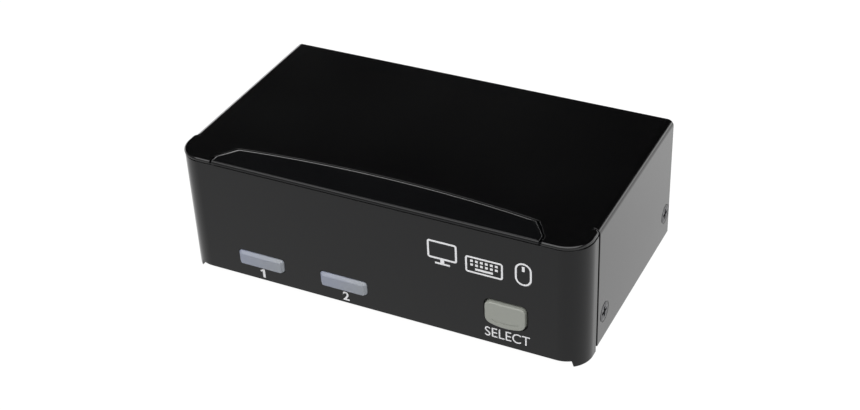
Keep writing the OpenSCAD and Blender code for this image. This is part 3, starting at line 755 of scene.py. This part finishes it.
class SWITCH_OT_cover(bpy.types.Operator):
    """Bent steel cover: top, two sides, and the tongue over the bezel with its cut-out"""

    bl_idname = "switch.cover"
    bl_label = "Cover"

    def execute(self, context):
        """Builds the cover."""
        case, seam, top = case_values()
        bend, sheet = case.bend, case.sheet
        x, z = CASE_HALF - bend, top - bend
        outer = arc(x, z, bend, 0, 90, 12)
        inner = arc(x, z, bend - sheet, 90, 0, 12)
        profile = ([(CASE_HALF, STEEL_LOW)] + outer + [(-u, v) for u, v in reversed(outer)]
                   + [(-CASE_HALF, STEEL_LOW), (sheet - CASE_HALF, STEEL_LOW)]
                   + [(-u, v) for u, v in reversed(inner)] + inner
                   + [(CASE_HALF - sheet, STEEL_LOW)])
        cover = prism("cover", profile, seam + case.seam_gap, CASE_BACK, "y")
        layers = [(self.tongue(case, seam, 0), top - sheet)]
        for i in range(7):
            turn = math.radians(15 * i)
            layers.append((self.tongue(case, seam, case.lip_round * (1 - math.cos(turn))),
                           top - case.lip_round * (1 - math.sin(turn))))
        combine(cover, [stack("tongue", layers)], "UNION")
        cutters = [prism("slot", tab_outline(case, case.tab_gap, FRONT - 4 * MM),
                         top - 2 * sheet, top + sheet)]
        for side in (-1, 1):
            for y in SCREW_Y:
                cutters.append(turned("sink", [(-4 * MM, SINK_HOLE), (-SINK_DEPTH, SINK_HOLE),
                                               (0.05 * MM, SINK_RIM), (PAST, SINK_RIM)],
                                      (side * CASE_HALF, y, SCREW_Z), (side, 0, 0)))
        combine(cover, cutters, "DIFFERENCE")
        round_edges(cover, case.edge)
        settle(cover, "cover_steel", CASE, ("lid",))
        return {"FINISHED"}

    @staticmethod
    def tongue(case, seam, inset):
        """Plan of the tongue over the bezel, its free edges drawn in by inset."""
        neck, reach = CASE_HALF - case.bend, CASE_HALF - 0.1 * MM - inset
        back, front = seam - 0.1 * MM, FRONT - case.lip + inset
        ear, corner = case.ear, case.corner - inset
        return mirrored([(neck, seam + 2 * MM), (neck, back)]
                        + arc(reach - ear, back - ear, ear, 90, 0, 4)
                        + arc(reach - corner, front + corner, corner, 0, -90, 24))


def window_places():
    """Centres of the two port windows on the front."""
    spots = []
    for node in ("port_lens_1", "port_lens_2"):
        low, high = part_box(node)
        spots.append(((low.x + high.x) / 2, (low.z + high.z) / 2))
    return spots


def button_place():
    """Centre of the select button on the front."""
    low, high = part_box("select_button")
    return (low.x + high.x) / 2, (low.z + high.z) / 2


def button_outline(sizes, grow):
    """Outline of the button about its centre, grown all round: its lower edge is bowed."""
    w, h = sizes.button_width / 2 + grow, sizes.button_height / 2 + grow
    r, low_r, bow = (sizes.button_corner + grow, sizes.button_low_corner + grow,
                     sizes.button_bow + grow)
    spread = math.degrees(math.asin((w - low_r) / (bow - low_r)))
    low_z = bow - h - (bow - low_r) * math.cos(math.radians(spread))
    return (arc(w - r, h - r, r, 0, 90, 8) + arc(r - w, h - r, r, 90, 180, 8)
            + arc(low_r - w, low_z, low_r, 180, 270 - spread, 8)
            + arc(0, bow - h, bow, 272 - spread, 268 + spread, 12)
            + arc(w - low_r, low_z, low_r, 270 + spread, 360, 8))


class SWITCH_OT_bezel(bpy.types.Operator):
    """Moulded bezel: rounded upright corners, raised tab, openings and snap hooks"""

    bl_idname = "switch.bezel"
    bl_label = "Bezel"

    def execute(self, context):
        """Builds the bezel."""
        case, seam, top = case_values()
        sizes = context.scene.switch_front
        under_steel = 0.1 * MM
        crown = top - case.sheet - under_steel
        back = seam - case.seam_gap
        base = BEZEL_LOW.z
        edge = STEEL_LOW + case.lower_edge

        def plan(inset, rear, steps=28):
            w, r, front = BEZEL_HIGH.x - inset, case.corner - inset, FRONT + inset
            return mirrored([(w, rear)] + arc(w - r, front + r, r, 0, -90, steps))

        step = crown - 0.5 * MM
        bezel = stack("bezel", [(plan(0, back), base), (plan(0, back), step),
                                (plan(case.rebate, back), step), (plan(case.rebate, back), crown)])
        chin = top - 0.9 * MM
        groove = block("groove", (-case.tab_front, FRONT - MM, chin - case.groove),
                       (case.tab_front, FRONT + 0.8 * MM, top))
        combine(bezel, [groove], "DIFFERENCE")
        combine(bezel, [self.tab(case, chin, top + case.tab_rise)], "UNION")
        foot = case.foot
        arch = prism("arch", [(foot + 0.6 * MM, base - 0.5 * MM), (foot, edge), (-foot, edge),
                              (-foot - 0.6 * MM, base - 0.5 * MM)], FRONT - 2 * MM, back + MM, "y")
        hollow = prism("hollow", plan(case.wall, back + 2 * MM), edge + 1.6 * MM, crown - 1.6 * MM)
        cutters = [arch, hollow]
        for x, z in window_places():
            gap = 0.12 * MM
            outline = moved(rounded(sizes.window_width + 2 * gap, sizes.window_height + 2 * gap,
                                    sizes.window_corner + gap, 6), x, z)
            cutters.append(prism("window", outline, FRONT - PAST, FRONT + case.wall + PAST, "y"))
        x, z = button_place()
        button_gap = 0.5 * MM
        outline = moved(button_outline(sizes, button_gap), x, z)
        cutters.append(prism("port", outline, FRONT - PAST, FRONT + case.wall + PAST, "y"))
        combine(bezel, cutters, "DIFFERENCE")
        round_edges(bezel, case.edge)
        inside, reach, shell = 62 * MM, 9 * MM, 1.7 * MM
        whole = with_back("bezel_moulding", bezel, "front_bezel",
                          (-inside, FRONT + case.wall + 0.02 * MM, edge + shell),
                          (inside, seam + reach, crown - shell))
        settle(whole, "bezel_plastic", CASE, ("front_bezel",))
        return {"FINISHED"}

    @staticmethod
    def tab(case, chin, high):
        """The raised tab: a round nose over a shadow line, and a softened rim."""
        nose, low, web = FRONT - case.tab_proud, chin - 1.2 * MM, FRONT + 0.7 * MM
        top_r, low_r = case.tab_round, 0.12 * MM
        profile = ([(FRONT + 14 * MM, low), (web, low), (web, chin), (nose + low_r, chin)]
                   + arc(nose + low_r, chin + low_r, low_r, -90, -180, 6)
                   + arc(nose + top_r, high - top_r, top_r, 180, 90, 10) + [(FRONT + 14 * MM, high)])
        piece = prism("tab", profile, -60 * MM, 60 * MM, "x")
        slope, fall, rim = 0.8 * MM, 0.19 * MM, 0.3 * MM
        layers = [(tab_outline(case, 0, nose - MM), low - MM)]
        for i in range(6):
            turn = math.radians(16 * i)
            layers.append((tab_outline(case, -rim * (1 - math.cos(turn)), nose - MM),
                           high - fall - rim * (1 - math.sin(turn))))
        layers.append((tab_outline(case, -rim - slope, nose - MM), high))
        return combine(piece, [stack("plan", layers)], "INTERSECT")


class SWITCH_OT_windows(bpy.types.Operator):
    """Two milky windows with sloped margins and light pipes behind"""

    bl_idname = "switch.windows"
    bl_label = "Port windows"

    def execute(self, context):
        """Builds both windows."""
        sizes = context.scene.switch_front
        wall = context.scene.switch_case.wall
        w, h, slope = sizes.window_width, sizes.window_height, sizes.window_slope
        for number, (x, z) in enumerate(window_places(), 1):
            node = f"port_lens_{number}"
            low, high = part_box(node)
            low_slope = 0.2 * MM
            face = moved(rounded(w - 2 * slope, h - slope - low_slope, 0.45 * MM, 6),
                         x, z - (slope - low_slope) / 2)
            rim = moved(rounded(w, h, sizes.window_corner, 6), x, z)
            window = stack(f"window_{number}", [
                (face, low.y), (rim, FRONT - 0.12 * MM), (rim, FRONT + wall)], "y")
            round_edges(window, 0.14 * MM, 3, 20)
            whole = with_back(f"window_{number}_moulding", window, node,
                              (low.x - PAST, FRONT + wall + 0.01 * MM, low.z - PAST),
                              (high.x + PAST, high.y + PAST, high.z + PAST))
            settle(whole, "window_plastic", CASE, (node,))
        return {"FINISHED"}


class SWITCH_OT_button(bpy.types.Operator):
    """Select button with a soft face, its flange and its stem"""

    bl_idname = "switch.button"
    bl_label = "Select button"

    def execute(self, context):
        """Builds the button cap."""
        sizes = context.scene.switch_front
        wall = context.scene.switch_case.wall
        low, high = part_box("select_button")
        x, z = button_place()
        layers = []
        steps = 6
        for i in range(steps + 1):
            turn = math.radians(90 * i / steps)
            shrink = sizes.button_edge * (1 - math.sin(turn))
            level = low.y + sizes.button_edge * (1 - math.cos(turn))
            layers.append((moved(button_outline(sizes, -shrink), x, z), level))
        layers.append((moved(button_outline(sizes, 0), x, z), FRONT + wall + 0.15 * MM))
        cap = stack("cap", layers, "y")
        bow = sizes.button_bow - sizes.crease
        centre = sizes.button_bow - sizes.button_height / 2
        wide, deep = 0.5 * MM, 0.14 * MM
        band = arc(0, centre, bow, 253, 287, 20) + arc(0, centre, bow - wide, 287, 253, 20)
        combine(cap, [prism("crease", moved(band, x, z), low.y - PAST, low.y + deep, "y")],
                "DIFFERENCE")
        round_edges(cap, 0.05 * MM, 2, 40)
        whole = with_back("select_button_cap", cap, "select_button",
                          (low.x - PAST, FRONT + wall + 0.16 * MM, low.z - PAST),
                          (high.x + PAST, high.y + PAST, high.z + PAST))
        settle(whole, "button_plastic", BUTTON, ("select_button",))
        return {"FINISHED"}


def printed_word(word, x, z, width, height, weight=0.0):
    """A word of screen print on the front face, fitted to a width and a height."""
    curve = bpy.data.curves.new("word", "FONT")
    curve.body = word
    curve.extrude = 0.5
    curve.offset = weight
    text = shown("word", curve)
    graph = bpy.context.evaluated_depsgraph_get()
    mesh = bpy.data.meshes.new_from_object(text.evaluated_get(graph))
    bpy.data.objects.remove(text)
    lows = [min(v.co[i] for v in mesh.vertices) for i in range(3)]
    highs = [max(v.co[i] for v in mesh.vertices) for i in range(3)]
    tall = height / (highs[1] - lows[1])
    wide = width / (highs[0] - lows[0]) if width else tall
    for v in mesh.vertices:
        u = (v.co.x - (lows[0] + highs[0]) / 2) * wide
        t = (v.co.y - (lows[1] + highs[1]) / 2) * tall
        v.co = (x + u, FRONT - v.co.z * HAIR - HAIR / 4, z + t)
    return shown("word", mesh)


def printed_shape(outline, x, z):
    """A flat shape of screen print on the front face."""
    return prism("shape", moved(outline, x, z), FRONT - HAIR, FRONT + HAIR / 2, "y")


def printed_ring(outer, inner, x, z):
    """A flat band of screen print between two outlines of equal length."""
    data = bmesh.new()
    loops = [[data.verts.new((x + u, y, z + v)) for u, v in outline]
             for outline in (outer, inner) for y in (FRONT - HAIR, FRONT + HAIR / 2)]
    for first, second in ((0, 2), (2, 3), (3, 1), (1, 0)):
        for i in range(len(outer)):
            j = (i + 1) % len(outer)
            data.faces.new((loops[first][i], loops[first][j], loops[second][j], loops[second][i]))
    return add_object("ring", data)


def bar(width, height):
    """Outline of a plain bar about its own centre."""
    w, h = width / 2, height / 2
    return [(-w, -h), (w, -h), (w, h), (-w, h)]


class SWITCH_OT_print(bpy.types.Operator):
    """White screen print: port numbers, the button's word and three pictograms"""

    bl_idname = "switch.print_marks"
    bl_label = "Screen print"

    def execute(self, context):
        """Builds the print."""
        sizes = context.scene.switch_front
        base, row = STEEL_LOW, STEEL_LOW + 28.2 * MM
        first, second = [x for x, _ in window_places()]
        one = [(0.6, 0.0), (0.6, 3.05), (-0.05, 3.05), (-1.0, 2.45), (-0.85, 1.95), (-0.2, 2.3),
               (-0.2, 0.0)]
        marks = [printed_shape([(u * MM, v * MM) for u, v in one], first, base + 2.05 * MM),
                 printed_word("2", second + 0.4 * MM, base + 3.5 * MM, 2.15 * MM,
                              sizes.digit_height, 0.02)]
        x, _ = button_place()
        marks.append(printed_word("SELECT", x + 0.4 * MM, base + 4.98 * MM, sizes.word_width,
                                  sizes.word_height))
        for pictogram, across in ((self.monitor, 22.6), (self.keyboard, 35.4), (self.mouse, 47.2)):
            marks += pictogram(across * MM, row)
        whole = joined("screen_print", marks)
        settle(whole, "print")
        return {"FINISHED"}

    @staticmethod
    def monitor(x, z):
        """A screen on a stand."""
        w, h, line = 9.2 * MM, 6.2 * MM, 0.6 * MM
        return [printed_ring(rounded(w, h, 0.8 * MM, 4),
                             rounded(w - 2 * line, h - 2 * line, 0.3 * MM, 4), x, z + 0.9 * MM),
                printed_shape(bar(1.2 * MM, 1.1 * MM), x, z - 2.75 * MM),
                printed_shape(bar(4.6 * MM, 0.6 * MM), x, z - 3.6 * MM)]

    @staticmethod
    def keyboard(x, z):
        """A keyboard with three rows of keys."""
        w, h, line = 11.4 * MM, 5.6 * MM, 0.55 * MM
        marks = [printed_ring(rounded(w, h, 0.8 * MM, 4),
                              rounded(w - 2 * line, h - 2 * line, 0.3 * MM, 4), x, z - 1.1 * MM)]
        for row in range(2):
            for column in range(6):
                marks.append(printed_shape(bar(0.85 * MM, 0.75 * MM), x + (column - 2.5) * 1.5 * MM,
                                           z + (0.2 - 1.3 * row) * MM))
        marks.append(printed_shape(bar(5.4 * MM, 0.7 * MM), x, z - 2.45 * MM))
        return marks

    @staticmethod
    def mouse(x, z):
        """A mouse with its wheel and its line between the buttons."""
        w, h, line = 5.0 * MM, 7.6 * MM, 0.55 * MM
        return [printed_ring(rounded(w, h, w / 2 - 0.01 * MM, 10),
                             rounded(w - 2 * line, h - 2 * line, w / 2 - line - 0.01 * MM, 10),
                             x, z - 0.1 * MM),
                printed_shape(bar(0.8 * MM, 1.7 * MM), x, z + 1.7 * MM)]


class SWITCH_OT_tray(bpy.types.Operator):
    """Steel tray with the floor and the rear panel"""

    bl_idname = "switch.tray"
    bl_label = "Tray"

    def execute(self, context):
        """Dresses the tray."""
        dress("base_tray", 0.12 * MM)
        return {"FINISHED"}


class SWITCH_OT_screws(bpy.types.Operator):
    """Black countersunk screws in the cover's sides"""

    bl_idname = "switch.screws"
    bl_label = "Side screws"

    def execute(self, context):
        """Builds one screw and sets four."""
        head = SCREW_HEAD
        screw = turned("screw", [(-5 * MM, 0.0), (-5 * MM, 1.2 * MM), (-4.6 * MM, 1.45 * MM),
                                 (-1.5 * MM, 1.45 * MM), (-0.18 * MM, head), (-0.04 * MM, head),
                                 (0.0, head - 0.12 * MM), (0.0, 0.0)], (0, 0, 0), (-1, 0, 0))
        for long, wide in ((3.8, 0.95), (0.95, 3.8)):
            slot = stack("slot", [
                (bar(long * 0.5 * MM, wide * 0.5 * MM), 1.6 * MM), (bar(long * MM, wide * MM), -0.3 * MM)],
                "x")
            combine(screw, [slot], "DIFFERENCE")
        round_edges(screw, 0.06 * MM, 2, 40)
        in_rows("side_screws", screw, "black_steel", ("case_screws",), Columns=2, Rows=2,
                **{"Column step": (0, SCREW_Y[1] - SCREW_Y[0], 0), "Row step": (2 * CASE_HALF, 0, 0),
                   "Centre": (0, sum(SCREW_Y) / 2, SCREW_Z), "Row turn": math.pi})
        return {"FINISHED"}


class SWITCH_OT_feet(bpy.types.Operator):
    """Round rubber feet under the tray"""

    bl_idname = "switch.feet"
    bl_label = "Rubber feet"

    def execute(self, context):
        """Builds one foot and sets four."""
        low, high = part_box("rubber_feet")
        tall, r = high.z - low.z, 5.0 * MM
        foot = turned("foot", [(0, 0.0), (0, r - 0.75 * MM), (0.12 * MM, r - 0.45 * MM),
                               (0.4 * MM, r - 0.25 * MM), (tall - 0.2 * MM, r),
                               (tall, r), (tall, 0.0)], (0, 0, 0), (0, 0, 1))
        even_shading(foot)
        spread = Vector((high.x - low.x - 2 * r, high.y - low.y - 2 * r, 0))
        middle = (low + high) / 2
        in_rows("feet", foot, "foot_rubber", ("rubber_feet",), Columns=2, Rows=2,
                **{"Column step": (spread.x, 0, 0), "Row step": (0, spread.y, 0),
                   "Centre": (middle.x, middle.y, low.z)})
        return {"FINISHED"}


class SWITCH_OT_video_sockets(bpy.types.Operator):
    """Three 15-pin sockets with their hexagonal jack screws"""

    bl_idname = "switch.video_sockets"
    bl_label = "Video sockets"

    def execute(self, context):
        """Dresses the sockets and sets the jack screws."""
        for place in ("monitor_socket", "computer_1_video", "computer_2_video"):
            dress(f"{place}_shell", 0.12 * MM)
            dress(f"{place}_insert", 0.06 * MM)
        self.jack_screws()
        return {"FINISHED"}

    @staticmethod
    def jack_screws():
        """One jack screw: a chamfered hexagon with a threaded hole, and its shank."""
        low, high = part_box("jack_screws")
        r = 5.0 * MM / math.sqrt(3)
        face, tip = CASE_BACK, high.y
        hexagon = prism("jack", [(x, y) for x, y in arc(0, 0, r, 0, 300, 5)], face, tip, "y")
        chamfer = turned("chamfer", [(face - MM, 0.0), (face - MM, r * 1.2), (tip - 0.5 * MM, r * 1.2),
                                     (tip - 0.5 * MM, r * 1.02), (tip, r * 0.86), (tip, 0.0)],
                         (0, 0, 0), (0, 1, 0))
        combine(hexagon, [chamfer], "INTERSECT")
        hole = [(face + 0.6 * MM, 0.0)]
        turns = 10
        for i in range(turns):
            level = face + (0.6 + 0.4 * i) * MM
            hole += [(level, 1.15 * MM), (level + 0.2 * MM, 1.42 * MM)]
        hole += [(tip - 0.3 * MM, 1.2 * MM), (tip + 0.1 * MM, 1.62 * MM), (tip + MM, 1.62 * MM),
                 (tip + MM, 0.0)]
        combine(hexagon, [turned("hole", hole, (0, 0, 0), (0, 1, 0))], "DIFFERENCE")
        round_edges(hexagon, 0.07 * MM, 2, 25)
        shank = even_shading(turned("shank", [(low.y, 0.0), (low.y, 1.2 * MM), (low.y + 0.2 * MM, 1.38 * MM),
                                              (face + 0.05 * MM, 1.38 * MM), (face + 0.05 * MM, 0.0)],
                                    (0, 0, 0), (0, 1, 0)))
        jack = joined("jack", [hexagon, shank])
        boxes = [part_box(n) for n in ("computer_1_video_shell", "monitor_socket_shell")]
        first, last = [(b[0].x + b[1].x) / 2 for b in boxes]
        in_rows("jack_screw_set", jack, "bright_steel", ("jack_screws",), Columns=2, Rows=3,
                **{"Column step": (24.99 * MM, 0, 0), "Row step": ((last - first) / 2, 0, 0),
                   "Centre": ((first + last) / 2, 0, (low.z + high.z) / 2)})


class SWITCH_OT_usb_sockets(bpy.types.Operator):
    """Square and stacked sockets in their folded shells"""

    bl_idname = "switch.usb_sockets"
    bl_label = "USB sockets"

    def execute(self, context):
        """Dresses the sockets."""
        for place in ("computer_1_usb", "computer_2_usb", "keyboard_mouse"):
            dress(f"{place}_shell", 0.12 * MM)
            dress(f"{place}_insert", 0.08 * MM)
        return {"FINISHED"}


class SWITCH_OT_power_socket(bpy.types.Operator):
    """Low-voltage socket with its pin"""

    bl_idname = "switch.power_socket"
    bl_label = "Power socket"

    def execute(self, context):
        """Dresses the socket."""
        dress("power_jack_body", 0.15 * MM)
        dress("power_jack_pin", 0.25 * MM, 4)
        return {"FINISHED"}


class SWITCH_OT_inside(bpy.types.Operator):
    """Boards, lamps, switch and everything else inside"""

    bl_idname = "switch.inside"
    bl_label = "Inside"

    def execute(self, context):
        """Gives every node that is still shown its finish."""
        for node, piece in NODES.items():
            if not piece.hide_render:
                piece.data.materials.clear()
                piece.data.materials.append(FINISHES[SLOT_OF[node]])
        return {"FINISHED"}


def add_light(name, place, aim, wide, tall, power):
    """A rectangular light that looks from its place at its aim."""
    lamp = bpy.data.lights.new(name, "AREA")
    lamp.shape = "RECTANGLE"
    lamp.size = wide
    lamp.size_y = tall
    lamp.energy = power
    light = shown(name, lamp)
    light.location = place
    light.rotation_euler = (Vector(aim) - Vector(place)).to_track_quat("-Z", "Y").to_euler()


class SWITCH_OT_stage(bpy.types.Operator):
    """Pale glowing floor, a soft light overhead, dim surroundings and the camera"""

    bl_idname = "switch.stage"
    bl_label = "Stage"

    def execute(self, context):
        """Builds the stage."""
        stage = context.scene.switch_stage
        self.floor()
        self.surroundings(stage)
        add_light("overhead", (0.1, -0.55, 0.9), (0, -0.02, 0.03), 2.0, 1.2, stage.key_power)
        self.camera(stage)
        context.scene.view_settings.view_transform = "Standard"
        return {"FINISHED"}

    @staticmethod
    def floor():
        """A wide pale floor whose glow is painted light: a pool round the case, brighter beyond the case's
        right side, which mirrors it.
        """
        floor = block("floor", (-3, -3, -0.01), (3, 3, 0))

        def build(tree):
            x, y, _ = tree.axes(tree.place())
            east, north = x + 0.05, y - 0.042
            # Painted light: the floor glows brightest in a pool round the case and dimmer further out.
            glow_pool = tree.ramp((east * east + north * north) * 3.0, [
                (0.0, 1.0), (0.165, 1.0), (1.0, 0.85)])
            # Painted light: the glow rises beyond the case's right side and rear, for the case's sides to
            # mirror.
            aside = x * 0.9 + y * 0.35 - 0.055
            side_glow = tree.ramp(aside * 6.0 + 0.1, [(0.0, 0.60), (0.25, 0.62), (0.8, 0.83)])
            cloud = tree.noise(3.0, detail=2.0)
            return {
                "Base Color": (0.05, 0.05, 0.05, 1.0),
                "Roughness": 0.7 + (cloud - 0.5) * 0.05,
                "Emission Color": glow_pool * side_glow,
                "Emission Strength": 1.62,
                "IOR": 1.1,
            }
        floor.data.materials.append(material("pale floor", build))

    @staticmethod
    def surroundings(stage):
        """A dim room with a low band of light behind the case."""
        world = bpy.data.worlds.new("studio")
        bpy.context.scene.world = world
        world.use_nodes = True
        world.node_tree.nodes.clear()
        tree = Tree(world.node_tree)
        _, y, z = tree.axes(tree.node("ShaderNodeTexCoord", out="Generated"))
        rear = tree.ramp(z, [(0.0, 0.7), (0.04, 1.0), (0.2, 1.0), (0.3, 0.005)])
        front = tree.ramp(z, [(0.1, 0.06), (0.5, 0.1)])
        side = tree.ramp(y + 0.5, [(0.4, 0.0), (0.7, 1.0)])
        shade = tree.node("ShaderNodeBackground", {}, {
            "Color": rear * side + front * (1.0 - side), "Strength": stage.band})
        tree.node("ShaderNodeOutputWorld", {}, {"Surface": shade})

    @staticmethod
    def camera(stage):
        """The camera, placed and leaned as the settings say."""
        turn, rise, lean = stage.azimuth, stage.elevation, stage.roll
        back = Vector((math.sin(turn) * math.cos(rise), -math.cos(turn) * math.cos(rise),
                       math.sin(rise)))
        right = Vector((math.cos(turn), math.sin(turn), 0))
        up = back.cross(right)
        side = right * math.cos(lean) + up * math.sin(lean)
        top = up * math.cos(lean) - right * math.sin(lean)
        data = bpy.data.cameras.new("camera")
        data.lens = stage.lens
        data.sensor_width = 36.0
        data.clip_start = 0.01
        camera = shown("camera", data)
        turned_by = Matrix((side, top, back)).transposed().to_4x4()
        camera.matrix_world = Matrix.Translation(stage.place) @ turned_by
        bpy.context.scene.camera = camera


OPERATORS = (
    SWITCH_OT_cover, SWITCH_OT_bezel, SWITCH_OT_windows, SWITCH_OT_button, SWITCH_OT_print,
    SWITCH_OT_tray, SWITCH_OT_screws, SWITCH_OT_feet, SWITCH_OT_video_sockets,
    SWITCH_OT_usb_sockets, SWITCH_OT_power_socket, SWITCH_OT_inside, SWITCH_OT_stage,
)


class SWITCH_PT_panel(bpy.types.Panel):
    """Lists the settings and the pieces."""

    bl_idname = "SWITCH_PT_panel"
    bl_label = "Switch box"
    bl_space_type = "VIEW_3D"
    bl_region_type = "UI"
    bl_category = "Switch box"

    def draw(self, context):
        """Draws the settings, then a button for each piece."""
        for name, group in GROUPS.items():
            settings = getattr(context.scene, name)
            box = self.layout.box()
            box.label(text=group.__doc__)
            for prop in group.__annotations__:
                box.prop(settings, prop)
        for operator in OPERATORS:
            self.layout.operator(operator.bl_idname)


def register():
    """Registers the settings, the operators and the panel."""
    for name, group in GROUPS.items():
        bpy.utils.register_class(group)
        setattr(bpy.types.Scene, name, bpy.props.PointerProperty(type=group))
    for operator in OPERATORS:
        bpy.utils.register_class(operator)
    bpy.utils.register_class(SWITCH_PT_panel)


def unregister():
    """Takes them away again."""
    bpy.utils.unregister_class(SWITCH_PT_panel)
    for operator in reversed(OPERATORS):
        bpy.utils.unregister_class(operator)
    for name, group in GROUPS.items():
        delattr(bpy.types.Scene, name)
        bpy.utils.unregister_class(group)


def main():
    """Builds every piece and the stage."""
    register()
    FINISHES.update(make_finishes())
    for operator in OPERATORS:
        group, name = operator.bl_idname.split(".")
        getattr(getattr(bpy.ops, group), name)()


if __name__ == "__main__":
    main()
